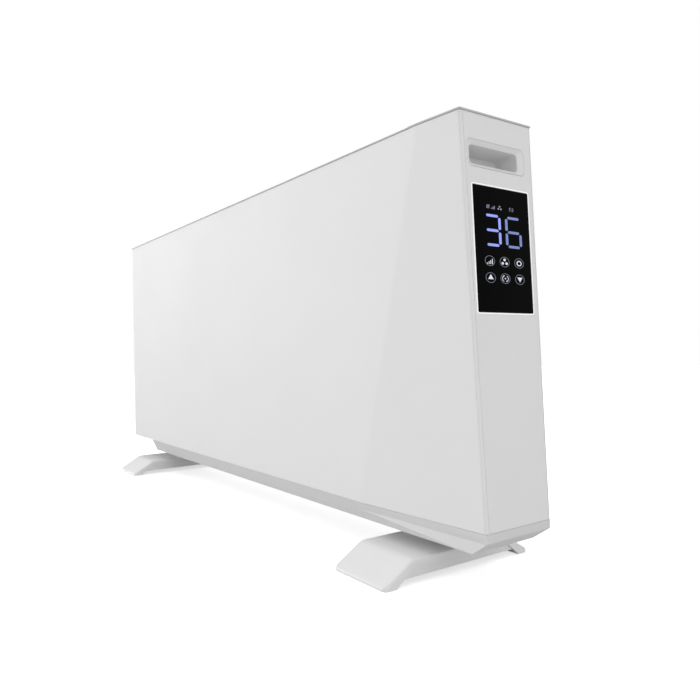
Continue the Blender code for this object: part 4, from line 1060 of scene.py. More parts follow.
@dataclass
class Base:
    """Tapered skirt and the two wide feet with their ribs and rubber pads."""

    foot_width: float = 82.5 * MM
    foot_top: float = 24 * MM
    plate: float = 5.5 * MM
    bend: float = 14.5 * MM              # past the casing's faces
    reach: float = 49 * MM
    toe_flat: float = 14.5 * MM
    toe_tip: float = 3.4 * MM
    pad_proud: float = 0.5 * MM
    toe_radius: float = 5.5 * MM
    rim_radius: float = 1.7 * MM
    bend_round: float = 4 * MM
    rib_inset: float = 2.5 * MM
    rib_wall: float = 2.5 * MM
    rib_clear: float = 6.6 * MM
    rib_count: int = 4
    cross_rib: float = 1.6 * MM
    overlap: float = 1 * MM              # of joined solids, and of cutters past what they cut
    neck_size: tuple[float, float] = (36 * MM, 20 * MM)
    screw_spacing: float = 20 * MM
    screw_bore: float = 2.3 * MM
    head_bore: float = 4.1 * MM
    screw_seat: float = 9 * MM
    pad_grooves: int = 12
    groove_depth: float = 0.4 * MM
    groove_border: float = 0.5 * MM
    groove_share: float = 0.36           # of the pitch of the ribs on a pad's sole

    def build(self) -> None:
        """Builds the skirt, the feet with their screw bores, and their pads."""
        add_piece("tapered_skirt", frame_copy("base_skirt"), SKIRT_ABS, ("base_skirt",),
                  soften=0.6 * MM, segments=2)
        for side in ("left", "right"):
            self.build_foot(side)
            for place in ("front", "rear"):
                self.build_pad(f"foot_pad_{side}_{place}")

    def half_outline(self) -> list[tuple[float, float]]:
        """Works out the foot's section on its rear side.

        Returns:
            The corners as (y, z) pairs, from the top down the toe and back under it.
        """
        rear = FORM.rear
        return [(rear + self.bend, self.foot_top), (rear + self.reach, self.toe_tip),
                (rear + self.reach, self.pad_proud), (self.underside(self.pad_proud), self.pad_proud),
                (self.underside(self.foot_top - self.plate), self.foot_top - self.plate)]

    def underside(self, height: float) -> float:
        """Works out where a toe's sloping underside is.

        Args:
            height: Z.

        Returns:
            Its Y on the rear side.
        """
        inner = FORM.rear + self.bend - self.plate / 3
        heel = FORM.rear + self.reach - self.toe_flat
        share = (height - self.pad_proud) / (self.foot_top - self.plate - self.pad_proud)
        return heel + (inner - heel) * share

    def prism(self, half: Sequence[tuple[float, float]], left: float, right: float) -> BMesh:
        """Returns a solid along X whose section is a half outline and its mirror image."""
        whole = [*half, *((-depth, height) for depth, height in reversed(half))]
        return extruded([(left, depth, height) for depth, height in whole], (right - left, 0.0, 0.0))

    def build_foot(self, side: str) -> None:
        """Moulds one foot: a bent plate with rounded toes over a frame of ribs, and its neck.

        Args:
            side: left or right.
        """
        centre = sum(corner.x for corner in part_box(f"foot_pad_{side}_front")) / 2
        left, right = centre - self.foot_width / 2, centre + self.foot_width / 2
        shape = self.ribbed(self.rounded_plate(left, right), left, right)
        shape = self.with_neck(shape, side)
        for name in ("front", "rear"):
            pad_low, pad_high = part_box(f"foot_pad_{side}_{name}")
            ease = Vector((FORM.gap, FORM.gap, FORM.gap))
            tool = block(pad_low - ease - Vector((0.0, 0.0, self.overlap)), pad_high + ease)
            shape = carved(shape, tool, Carve.CUT)
        add_piece(f"moulded_foot_{side}", shape, WHITE_ABS, (f"foot_{side}",))

    def ribbed(self, shape: BMesh, left: float, right: float) -> BMesh:
        """Adds the frame under a foot's plate, and the ribs that cross it.

        Args:
            shape: the plate, which is used up.
            left: X of its left side.
            right: X of its right side.

        Returns:
            The new bmesh.
        """
        under = self.foot_top - self.plate
        skirt = [(self.underside(under + self.rib_wall), under + self.rib_wall),
                 (self.underside(self.rib_clear) + self.rib_wall, self.rib_clear)]
        inset = self.rib_inset
        shape = carved(shape, self.prism(skirt, left + inset, right - inset), Carve.JOIN)
        inset = self.rib_inset + self.rib_wall
        hollow = [(self.underside(under) - self.rib_wall, under),
                  (self.underside(self.rib_clear), self.rib_clear - self.rib_wall)]
        shape = carved(shape, self.prism(hollow, left + inset, right - inset), Carve.CUT)
        inner = FORM.rear + self.bend - self.plate
        half, foot = self.cross_rib / 2, self.rib_clear + self.overlap
        for number in range(self.rib_count):
            depth = (number - (self.rib_count - 1) / 2) * 2 * inner / self.rib_count
            rib = block((left + inset - FORM.gap, depth - half, foot),
                        (right - inset + FORM.gap, depth + half, under + FORM.gap))
            shape = carved(shape, rib, Carve.JOIN)
        return shape

    def with_neck(self, shape: BMesh, side: str) -> BMesh:
        """Adds a foot's neck, and bores and counterbores it for the two screws.

        Args:
            shape: the foot so far, which is used up.
            side: left or right.

        Returns:
            The new bmesh.
        """
        low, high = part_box(f"foot_{side}")
        middle = self.neck_x(side)
        width, depth = self.neck_size
        neck = block((middle - width / 2, -depth / 2, self.foot_top - self.plate + self.overlap),
                     (middle + width / 2, depth / 2, high.z))
        shape = carved(shape, neck, Carve.JOIN)
        for across in (middle - self.screw_spacing / 2, middle + self.screw_spacing / 2):
            for stop, radius in ((high.z + self.overlap, self.screw_bore),
                                 (high.z - self.screw_seat, self.head_bore)):
                tool = bar((across, 0.0, low.z - self.overlap), (across, 0.0, stop), radius)
                shape = carved(shape, tool, Carve.CUT)
        return shape

    def neck_x(self, side: str) -> float:
        """Finds the middle of a foot's neck, which stands between its two screws.

        Args:
            side: left or right.

        Returns:
            Its X.
        """
        numbers = (1, 2) if side == "left" else (3, 4)
        centres = [sum(corner.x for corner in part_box(f"foot_screw_{number}")) / 2 for number in numbers]
        return sum(centres) / len(centres)

    def rounded_plate(self, left: float, right: float) -> BMesh:
        """Bends the foot's plate, and rounds its toe corners, bends and rim.

        Args:
            left: X of its left side.
            right: X of its right side.

        Returns:
            The bmesh.
        """
        shape = self.prism(self.half_outline(), left, right)
        tip = FORM.rear + self.reach - NEAR
        bend = FORM.rear + self.bend
        toes = [edge for edge in edges_where(shape, lambda co: abs(co.y) > tip)
                if edge.verts[0].co.x == edge.verts[1].co.x]
        round_off(shape, toes, self.toe_radius, segments=6)
        tops = edges_where(shape, lambda co: co.z > self.foot_top - NEAR and abs(co.y) > bend - 1 * MM)
        tops = [edge for edge in tops if self.runs_across(edge)]
        round_off(shape, tops, self.bend_round, segments=6)
        under = self.underside(self.foot_top - self.plate)
        hollows = edges_where(shape, lambda co: abs(abs(co.y) - under) < NEAR
                              and abs(co.z - self.foot_top + self.plate) < NEAR)
        hollows = [edge for edge in hollows if self.runs_across(edge)]
        round_off(shape, hollows, self.bend_round, segments=4)
        rim = [edge for edge in shape.edges if self.is_rim(edge)]
        round_off(shape, rim, self.rim_radius, segments=4)
        bmesh.ops.recalc_face_normals(shape, faces=shape.faces[:])
        return shape

    def runs_across(self, edge: BMEdge) -> bool:
        """Returns whether an edge runs along the heater's length."""
        return abs(edge.verts[0].co.y - edge.verts[1].co.y) < NEAR

    def is_rim(self, edge: BMEdge) -> bool:
        """Returns whether an edge lies between the plate's upper side and its flank."""
        ups = sorted(face.normal.z for face in edge.link_faces)
        return len(ups) == 2 and ups[1] > 0.6 and abs(ups[0]) < 0.35

    def build_pad(self, node: str) -> None:
        """Moulds a rubber pad whose sole is grooved across.

        Args:
            node: the frame node it stands for.
        """
        low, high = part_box(node)
        shape = block((low.x, low.y, low.z + self.groove_depth), high)
        pitch = (high.x - low.x) / self.pad_grooves
        border, share = self.groove_border, self.groove_share
        for number in range(self.pad_grooves):
            start = low.x + (number + share / 2) * pitch
            rib = block((start, low.y + border, low.z),
                        (start + (1 - share) * pitch, high.y - border, low.z + 1.5 * self.groove_depth))
            shape = carved(shape, rib, Carve.JOIN)
        add_piece(f"grooved_{node}", shape, RUBBER, (node,), soften=0.15 * MM)


@dataclass
class Screws:
    """Pan-head screws with a cross recess, six in the back and four in the feet."""

    head_radius: float = 3.8 * MM
    head_height: float = 2.4 * MM
    shank_radius: float = 2 * MM
    thread_pitch: float = 0.9 * MM
    thread_root: float = 0.82            # of the shank's radius
    recess_span: float = 4.4 * MM
    recess_width: float = 0.9 * MM
    recess_depth: float = 1.5 * MM

    def build(self) -> None:
        """Builds the ten screws."""
        for number in range(1, 7):
            low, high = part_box(f"case_screw_{number}")
            middle = (low + high) / 2
            seat = Vector((middle.x, high.y - self.head_height, middle.z))
            place = Matrix.Translation(seat) @ Matrix.Rotation(math.pi / 2, 4, "X")
            self.build_screw(f"case_screw_{number}", high.y - low.y - self.head_height, place)
        for number in range(1, 5):
            low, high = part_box(f"foot_screw_{number}")
            middle = (low + high) / 2
            place = Matrix.Translation((middle.x, middle.y, low.z + self.head_height))
            self.build_screw(f"foot_screw_{number}", high.z - low.z - self.head_height, place)

    def build_screw(self, node: str, length: float, place: Matrix) -> None:
        """Turns one screw, head down, and cuts the cross in its head.

        Args:
            node: the frame node it stands for.
            length: length of the shank.
            place: local Z is along the shank, with zero under the head.
        """
        head = self.head_radius
        profile = [(0.0, -self.head_height), (head * 0.55, -self.head_height * 0.97),
                   (head * 0.85, -self.head_height * 0.8), (head, -self.head_height * 0.45), (head, 0.0)]
        turns = int(length / self.thread_pitch) - 1
        core = self.shank_radius * self.thread_root
        for turn in range(turns):
            level = (turn + 0.5) * self.thread_pitch
            profile.append((core, level))
            profile.append((self.shank_radius, level + self.thread_pitch / 2))
        profile.append((core, length - self.thread_pitch * 0.5))
        profile.append((core * 0.6, length))
        profile.append((0.0, length))
        shape = turned(profile, (0.0, 0.0, 0.0), (0.0, 0.0, 1.0), steps=24)
        depth = 2 * self.recess_depth
        span, width = self.recess_span, self.recess_width
        top = (0.0, 0.0, -self.head_height)
        along, across = (centred_block(top, (*size, depth)) for size in ((span, width), (width, span)))
        cross = carved(along, across, Carve.JOIN)
        shape = carved(shape, cross, Carve.CUT)
        add_piece(f"cross_{node}", shape, ZINC, (node,), place=place)


# ---------------------------------------------------------------- control end

@dataclass
class Display:
    """Touch panel: trim ring, black glass, lit digits, and keys with their signs.

    Places on the glass are (y, z) pairs from its middle, y towards the rear. Signs are drawn in
    millimetres in their own proportions, then stretched along y, as on the real panel.
    """

    height: float = 309.5 * MM
    shift: float = 3.3 * MM
    glass: tuple[float, float] = (74.5 * MM, 115 * MM)
    glass_thickness: float = 3 * MM
    glass_radius: float = 1.2 * MM
    proud: float = 0.4 * MM
    print_lift: float = 0.03 * MM
    print_thickness: float = 0.05 * MM
    digit_rows: tuple[float, float, float] = (31.0, 17.55, 4.1)
    digit_lefts: tuple[float, float] = (-18.1, 2.4)
    digit_width: float = 16.2
    segment: float = 2.4
    stretch: float = 1.38                # all signs are this much wider than high
    key_columns: tuple[float, float, float] = (-14.2, 0.0, 14.5)
    key_rows: tuple[float, float] = (-10.7, -26.0)
    key_radius: float = 4.5
    key_line: float = 0.5
    state_row: float = 39.0
    state_scale: float = 0.66

    def build(self) -> None:
        """Builds the trim, the glass and all that shows on it."""
        place = FORM.display_end(self.height, self.shift)
        # The trim's white glow is a painted highlight.
        add_piece("display_trim", frame_copy("display_frame"), TRIM_ABS_PAINTED_HIGHLIGHT, ("display_frame",),
                  soften=0.3 * MM, segments=2)
        pane = round_plate(self.glass, self.glass_radius, self.glass_thickness, segments=4)
        add_piece("display_pane", pane, GLASS, ("display_glass",), soften=0.3 * MM, segments=2,
                  place=place @ Matrix.Translation((self.proud, 0.0, 0.0)))
        self.build_digit("three", "abcdg", self.digit_lefts[0], LIT_BRIGHT)
        self.build_digit("six", "acdefg", self.digit_lefts[1], LIT_DIM)
        self.build_keys()
        self.build_icons()
        dress(BOARD, "display_board")
        dress(BLACK_ABS, "digit_module")

    def add_print(self, name: str, shape: BMesh, finish: Finish) -> None:
        """Lays a flat print on the glass.

        Args:
            name: the piece's name.
            shape: the print, in millimetres, with its face at local X zero.
            finish: its finish.
        """
        bmesh.ops.scale(shape, vec=(MM, self.stretch * MM, MM), verts=shape.verts[:])
        front = self.proud + self.print_lift + self.print_thickness
        place = FORM.display_end(self.height, self.shift) @ Matrix.Translation((front, 0.0, 0.0))
        add_piece(name, shape, finish, place=place)

    @property
    def flat(self) -> float:
        """The print's thickness in the millimetres that its shapes are drawn in."""
        return self.print_thickness / MM

    def stroke(self, shape: BMesh, start: tuple[float, float], stop: tuple[float, float],
               width: float) -> None:
        """Adds a round-ended line between two places.

        Args:
            shape: the print that grows.
            start: centre of one end.
            stop: centre of the other end.
            width: width of the line.
        """
        span = Vector(stop) - Vector(start)
        middle = (Vector(stop) + Vector(start)) / 2
        turn = Matrix.Rotation(math.atan2(span.y, span.x), 4, "X")
        line = round_plate((span.length + width, width), 0.49 * width, self.flat, segments=4,
                           place=Matrix.Translation((0.0, middle.x, middle.y)) @ turn)
        join(shape, line)

    def dot(self, shape: BMesh, centre: tuple[float, float], radius: float, sides: int = 16,
            turn: float = 0.0) -> None:
        """Adds a filled disc, or a polygon with few sides.

        Args:
            shape: the print that grows.
            centre: its centre.
            radius: its radius.
            sides: number of its sides.
            turn: angle by which it is turned in its plane.
        """
        disc = bmesh.new()
        stand = (Matrix.Translation((-self.flat / 2, *centre)) @ Matrix.Rotation(turn, 4, "X")
                 @ Matrix.Rotation(math.pi / 2, 4, "Y"))
        bmesh.ops.create_cone(disc, cap_ends=True, segments=sides, radius1=radius, radius2=radius,
                              depth=self.flat, matrix=stand)
        join(shape, disc)

    def arc(self, shape: BMesh, centre: tuple[float, float], radius: float, width: float,
            start: float = 0.0, sweep: float = 360.0, steps: int = 40) -> None:
        """Adds a ring, or part of one. Its angles are in degrees from local Y towards Z.

        Args:
            shape: the print that grows.
            centre: its centre.
            radius: radius of the middle of its line.
            width: width of the line.
            start: angle at which it starts.
            sweep: angle that it covers.
            steps: flats along it.
        """
        band = bmesh.new()
        low, high = radius - width / 2, radius + width / 2
        section = ((0.0, low), (0.0, high), (-self.flat, high), (-self.flat, low))
        turn = Matrix.Rotation(math.radians(start), 4, "X")
        corners = [band.verts.new(turn @ Vector((depth, out, 0.0))) for depth, out in section]
        whole = sweep >= 360.0
        geom = [band.edges.new((corners[n], corners[(n + 1) % 4])) for n in range(4)]
        if not whole:
            geom.append(band.faces.new(corners))
        bmesh.ops.spin(band, geom=geom + corners, cent=(0.0, 0.0, 0.0), axis=(1.0, 0.0, 0.0),
                       angle=math.radians(sweep), steps=steps, use_merge=whole, use_duplicate=False)
        bmesh.ops.remove_doubles(band, verts=band.verts[:], dist=MERGE)
        bmesh.ops.recalc_face_normals(band, faces=band.faces[:])
        join(shape, band, Matrix.Translation((0.0, *centre)))

    def build_digit(self, name: str, segments: str, left: float, finish: Finish) -> None:
        """Builds one seven-segment digit.

        Args:
            name: the figure's name.
            segments: the lit segments by their usual letters, a to g.
            left: its left edge on the glass.
            finish: the light's finish.
        """
        top, middle, bottom = self.digit_rows
        inner, outer = left + self.segment / 2, left + self.digit_width - self.segment / 2
        ease = self.segment * 0.95
        ends = {"a": ((inner + ease, top), (outer - ease, top)),
                "b": ((outer, top - ease), (outer, middle + ease)),
                "c": ((outer, middle - ease), (outer, bottom + ease)),
                "d": ((inner + ease, bottom), (outer - ease, bottom)),
                "e": ((inner, middle - ease), (inner, bottom + ease)),
                "f": ((inner, top - ease), (inner, middle + ease)),
                "g": ((inner + ease, middle), (outer - ease, middle))}
        shape = bmesh.new()
        for letter in segments:
            start, stop = ends[letter]
            span = Vector(stop) - Vector(start)
            centre = (Vector(stop) + Vector(start)) / 2
            turn = Matrix.Rotation(math.atan2(span.y, span.x), 4, "X")
            guide = round_plate((span.length + self.segment * 0.9, self.segment), self.segment * 0.46,
                                self.flat, segments=2,
                                place=Matrix.Translation((0.0, centre.x, centre.y)) @ turn)
            join(shape, guide)
        self.add_print(f"lit_digit_{name}", shape, finish)

    def build_keys(self) -> None:
        """Prints the six ringed keys and the sign in each."""
        rings = bmesh.new()
        for column in self.key_columns:
            for row in self.key_rows:
                self.arc(rings, (column, row), self.key_radius, self.key_line)
        self.add_print("key_rings", rings, RING_PRINT)
        signs = bmesh.new()
        left, middle, right = self.key_columns
        upper, lower = self.key_rows
        self.draw_level_bars(signs, (left - 0.1, upper - 0.4), 1.0)
        self.draw_rotor(signs, (middle, upper - 0.2), 1.0)
        self.arc(signs, (right, upper - 0.1), 2.1, 0.9)
        self.dot(signs, (left + 0.1, lower + 0.1), 3.0, sides=3, turn=math.radians(90))
        self.dot(signs, (right + 0.1, lower + 0.5), 3.0, sides=3, turn=math.radians(-90))
        self.draw_swirl(signs, (middle, lower), 1.0)
        self.add_print("key_signs", signs, KEY_PRINT)

    def draw_level_bars(self, shape: BMesh, centre: tuple[float, float], scale: float) -> None:
        """Adds four upright bars that grow to the right.

        Args:
            shape: the print that grows.
            centre: centre of the sign.
            scale: its size, one for a key's sign.
        """
        bottom = centre[1] - 2.3 * scale
        for number in range(4):
            across = centre[0] + (number - 1.5) * 1.6 * scale
            top = bottom + (0.5 + 1.25 * number) * scale
            self.stroke(shape, (across, bottom), (across, top), 0.7 * scale)

    def draw_rotor(self, shape: BMesh, centre: tuple[float, float], scale: float) -> None:
        """Adds three discs about a centre, the sign of the fan.

        Args:
            shape: the print that grows.
            centre: centre of the sign.
            scale: its size, one for a key's sign.
        """
        reach = 2.2 * scale
        for turn in (90, 210, 330):
            angle = math.radians(turn)
            place = (centre[0] + reach * math.cos(angle), centre[1] + reach * math.sin(angle))
            self.dot(shape, place, 1.2 * scale)

    def draw_swirl(self, shape: BMesh, centre: tuple[float, float], scale: float) -> None:
        """Adds two hooked arcs about a dot, the sign of the timer.

        Args:
            shape: the print that grows.
            centre: centre of the sign.
            scale: its size, one for a key's sign.
        """
        reach = 2.9 * scale
        for start in (110, 290):
            self.arc(shape, centre, reach, 0.5 * scale, start, 130, steps=14)
            tip = math.radians(start)
            end = (centre[0] + reach * math.cos(tip), centre[1] + reach * math.sin(tip))
            self.stroke(shape, end, (end[0] - 1.1 * scale * math.cos(tip - 0.9),
                                     end[1] - 1.1 * scale * math.sin(tip - 0.9)), 0.55 * scale)
        self.dot(shape, centre, 0.65 * scale)

    def build_icons(self) -> None:
        """Lights the four small state signs above the digits."""
        shape = bmesh.new()
        row, scale = self.state_row, self.state_scale
        for across in (-14.6, -13.6, -12.6):
            self.stroke(shape, (across - 0.3, row - 1.4), (across + 0.3, row + 1.6), 0.45)
        self.draw_level_bars(shape, (-8.9, row - 0.1), scale)
        self.draw_rotor(shape, (-2.3, row - 0.1), scale)
        self.draw_swirl(shape, (9.2, row + 0.2), scale)
        self.add_print("lit_state_signs", shape, LIT_STATE)


@dataclass
class RearFittings:
    """Mains rocker in its snap-in housing, and the fluted gland for the lead."""

    gland_bore: float = 4 * MM
    gland_radius: float = 7 * MM
    gland_flange: float = 10 * MM
    flutes: int = 4
    mark_depth: float = 0.05 * MM
    mark_lift: float = 0.02 * MM

    def build(self) -> None:
        """Builds the rocker, its housing and the gland."""
        add_piece("snap_in_housing", frame_copy("switch_housing"), BLACK_ABS, ("switch_housing",),
                  soften=0.3 * MM, segments=2)
        add_piece("mains_rocker", frame_copy("rocker"), BLACK_ABS, ("rocker",), body=Body.SWITCH,
                  soften=0.35 * MM, segments=2)
        self.build_marks()
        self.build_gland()

    def build_marks(self) -> None:
        """Prints the usual line and ring for on and off on the rocker's two halves."""
        solid = frame_copy("rocker")
        fronts = [face for face in solid.faces if face.normal.y > 0.7]
        fronts.sort(key=lambda face: face.calc_center_bounds().z)
        across = sum(corner.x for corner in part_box("rocker")) / 2
        depth = self.mark_depth
        ring = [(1.7 * MM, 0.0), (2.3 * MM, 0.0), (2.3 * MM, -depth), (1.7 * MM, -depth)]
        marks = {"off": turned(ring, (0.0, 0.0, 0.0), (1.0, 0.0, 0.0), steps=28),
                 "on": round_plate((0.9 * MM, 4.2 * MM), 0.4 * MM, depth)}
        for (name, shape), spot in zip(marks.items(), (fronts[0], fronts[-1])):
            centre = spot.calc_center_bounds()
            turn = spot.normal.to_track_quat("X", "Z").to_matrix().to_4x4()
            lifted = Vector((across, centre.y, centre.z)) + spot.normal * (depth + self.mark_lift)
            add_piece(f"rocker_mark_{name}", shape, MARK_PRINT, body=Body.SWITCH,
                      place=Matrix.Translation(lifted) @ turn)
        solid.free()

    def build_gland(self) -> None:
        """Turns the rubber bush; rings round its nose let it flex with the lead."""
        low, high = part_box("cable_gland")
        centre = Vector(((low.x + high.x) / 2, 0.0, (low.z + high.z) / 2))
        panel, flange = FORM.rear, self.gland_flange
        profile = [(self.gland_bore, low.y), (self.gland_radius * 0.94, low.y),
                   (self.gland_radius, low.y + 0.5 * MM), (self.gland_radius, panel + FORM.gap),
                   (flange - 0.4 * MM, panel + FORM.gap), (flange, panel + 0.7 * MM),
                   (flange, panel + 1.3 * MM), (flange - 0.5 * MM, panel + 1.8 * MM)]
        start, room = panel + 1.8 * MM, high.y - panel - 1.8 * MM
        for number in range(self.flutes):
            step = room / self.flutes
            level = start + number * step
            outer = self.gland_radius - 0.15 * MM * number
            profile += [(outer - 0.9 * MM, level + 0.1 * step), (outer - 0.9 * MM, level + 0.4 * step),
                        (outer, level + 0.5 * step), (outer, level + 0.95 * step)]
        profile += [(self.gland_bore + 0.6 * MM, high.y), (self.gland_bore, high.y - 0.5 * MM)]
        shape = turned(profile, centre, (0.0, 1.0, 0.0), steps=40)
        add_piece("fluted_gland", shape, RUBBER, ("cable_gland",))


# ---------------------------------------------------------------- inside

@dataclass
class FanUnit:
    """Axial fan behind the low air slots: frame, motor, shaft and seven-bladed impeller."""

    blades: int = 7
    hub_radius: float = 13 * MM
    tip_radius: float = 36 * MM
    blade_thickness: float = 1.3 * MM
    root_pitch: float = math.radians(46)
    tip_pitch: float = math.radians(26)
    root_chord: float = 11 * MM
    tip_chord: float = 20 * MM
    shaft_bore: float = 2.8 * MM
    blade_steps: tuple[int, int] = (8, 6)

    def build(self) -> None:
        """Builds the fan's pieces."""
        add_piece("fan_frame", frame_copy("fan_shroud"), BLACK_ABS, ("fan_shroud",), soften=0.8 * MM)
        self.build_impeller()
        self.build_motor()
        dress(ZINC, "motor_shaft")

    def build_impeller(self) -> None:
        """Moulds the impeller: a domed hub with twisted blades round it."""
        low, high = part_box("impeller")
        centre = (low + high) / 2
        half = (high.y - low.y) / 2
        hub = self.hub_radius
        profile = [(self.shaft_bore, -half), (hub - 1 * MM, -half), (hub, -half + 1 * MM),
                   (hub, half - 3 * MM), (hub - 1 * MM, half - 1.2 * MM), (hub - 3.5 * MM, half),
                   (self.shaft_bore, half)]
        shape = turned(profile, centre, (0.0, 1.0, 0.0), steps=42)
        for number in range(self.blades):
            turn = Matrix.Rotation(2 * math.pi * number / self.blades, 4, "Y")
            join(shape, self.blade(), Matrix.Translation(centre) @ turn)
        add_piece("seven_blade_impeller", shape, BLACK_ABS, ("impeller",), body=Body.FAN)

    def blade(self) -> BMesh:
        """Shapes one blade, wide at its tip and twisted, with a cambered section.

        Returns:
            The bmesh, with the blade along local X.
        """
        shape = bmesh.new()
        along, across = self.blade_steps
        bmesh.ops.create_grid(shape, x_segments=along, y_segments=across, size=0.5)
        root = self.hub_radius - 0.8 * MM
        for corner in shape.verts:
            share = corner.co.x + 0.5
            chord = self.root_chord + (self.tip_chord - self.root_chord) * share
            pitch = self.root_pitch + (self.tip_pitch - self.root_pitch) * share
            width = corner.co.y * chord
            camber = (0.25 - corner.co.y ** 2) * 0.28 * chord
            sweep = share ** 2 * 4 * MM
            radius = root + (self.tip_radius - 0.6 * MM - root) * share
            lift = width * math.sin(pitch) + camber * math.cos(pitch)
            side = width * math.cos(pitch) - camber * math.sin(pitch) + sweep
            reach = math.sqrt(max(radius ** 2 - side ** 2, (0.4 * radius) ** 2))
            corner.co = Vector((reach, lift, side))
        bmesh.ops.recalc_face_normals(shape, faces=shape.faces[:])
        bmesh.ops.solidify(shape, geom=shape.faces[:], thickness=self.blade_thickness)
        bmesh.ops.recalc_face_normals(shape, faces=shape.faces[:])
        rims = [edge for edge in shape.edges if edge.calc_face_angle(0.0) > math.radians(50)]
        round_off(shape, rims, 0.4 * MM, segments=2)
        return shape

    def build_motor(self) -> None:
        """Builds the motor: stepped bearing housings round a laminated stack."""
        low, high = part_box("fan_motor")
        centre = Vector(((low.x + high.x) / 2, 0.0, (low.z + high.z) / 2))
        radius = (high.x - low.x) / 2
        bore = self.shaft_bore
        length = high.y - low.y
        plates = 12
        step = length * 0.5 / plates
        start = low.y + length * 0.25
        profile = [(0.0, low.y), (radius * 0.45, low.y), (radius * 0.5, low.y + 1 * MM),
                   (radius * 0.5, low.y + 3 * MM), (radius * 0.86, low.y + 4 * MM), (radius * 0.9, start)]
        for number in range(plates):
            level = start + number * step
            groove = radius - 0.35 * MM
            profile += [(radius, level + 0.1 * step), (radius, level + 0.75 * step),
                        (groove, level + 0.8 * step), (groove, level + 0.98 * step)]
        profile += [(radius * 0.9, high.y - length * 0.25), (radius * 0.86, high.y - 3 * MM),
                    (radius * 0.5, high.y - 2 * MM), (radius * 0.48, high.y), (bore, high.y),
                    (bore, low.y + 3 * MM), (0.0, low.y + 3 * MM)]
        shape = turned(profile, centre, (0.0, 1.0, 0.0), steps=48)
        add_piece("laminated_motor", shape, ZINC, ("fan_motor",))


@dataclass
class HeaterUnit:
    """Two finned heating elements on ceramic bushes between brackets, and the heat shields."""

    fin: float = 17 * MM
    web: float = 0.7 * MM
    rod: float = 4 * MM
    core: float = 6 * MM
    tab_pitch: float = 7 * MM
    tab_gap: float = 1.6 * MM
    end_room: float = 16 * MM

    def build(self) -> None:
        """Builds the elements and their carriers."""
        for side in ("front", "rear"):
            self.build_element(side)
            for end in ("left", "right"):
                self.build_bush(f"insulator_{end}_{side}")
        for node in ("element_bracket_left", "element_bracket_right"):
            add_piece(f"punched_{node}", frame_copy(node), ZINC, (node,), soften=0.3 * MM)
        dress(ZINC, "heat_shield_front", "heat_shield_rear", "partition_wall")
        self.build_cutout()

    def build_element(self, side: str) -> None:
        """Builds one element: an extruded cross on a sheathed rod, its fins cut into tabs.

        Args:
            side: front or rear.
        """
        low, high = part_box(f"heating_element_{side}")
        middle = Vector((0.0, (low.y + high.y) / 2, (low.z + high.z) / 2))
        start = low.x + self.end_room
        stop = high.x - self.end_room
        shape = bar((low.x, middle.y, middle.z), (high.x, middle.y, middle.z), self.rod)
        join(shape, bar((start, middle.y, middle.z), (stop, middle.y, middle.z), self.core))
        count = int((stop - start) / self.tab_pitch)
        pitch = (stop - start) / count
        for number in range(count):
            left = start + number * pitch + self.tab_gap / 2
            right = left + pitch - self.tab_gap
            for arm in range(4):
                turn = Matrix.Rotation(math.radians(45 + 90 * arm), 4, "X")
                tab = block((left, self.core - 0.5 * MM, -self.web), (right, self.fin, self.web))
                join(shape, tab, Matrix.Translation(middle) @ turn)
        add_piece(f"finned_element_{side}", shape, ALUMINIUM, (f"heating_element_{side}",))

    def build_bush(self, node: str) -> None:
        """Softens one pressed ceramic bush."""
        add_piece(f"pressed_{node}", frame_copy(node), CERAMIC, (node,), soften=0.5 * MM)

    def build_cutout(self) -> None:
        """Builds the round thermostat: a metal cap on a moulded base with two blades."""
        low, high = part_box("thermal_cutout")
        centre = Vector(((low.x + high.x) / 2, 0.0, (low.z + high.z) / 2))
        radius = (high.x - low.x) / 2
        profile = [(0.0, high.y), (radius, high.y), (radius, high.y - 2.2 * MM),
                   (radius - 0.8 * MM, high.y - 2.6 * MM), (radius - 0.8 * MM, low.y + 1.2 * MM),
                   (radius - 1.6 * MM, low.y + 0.4 * MM), (0.0, low.y + 0.4 * MM)]
        shape = turned(profile, centre, (0.0, 1.0, 0.0), steps=36)
        for side in (-1, 1):
            middle = (centre.x + side * 4 * MM, low.y + 0.5 * MM, centre.z)
            centred_block(middle, (0.8 * MM, 1 * MM, 6.3 * MM), shape)
        add_piece("snap_thermostat", shape, BLACK_ABS, ("thermal_cutout",))


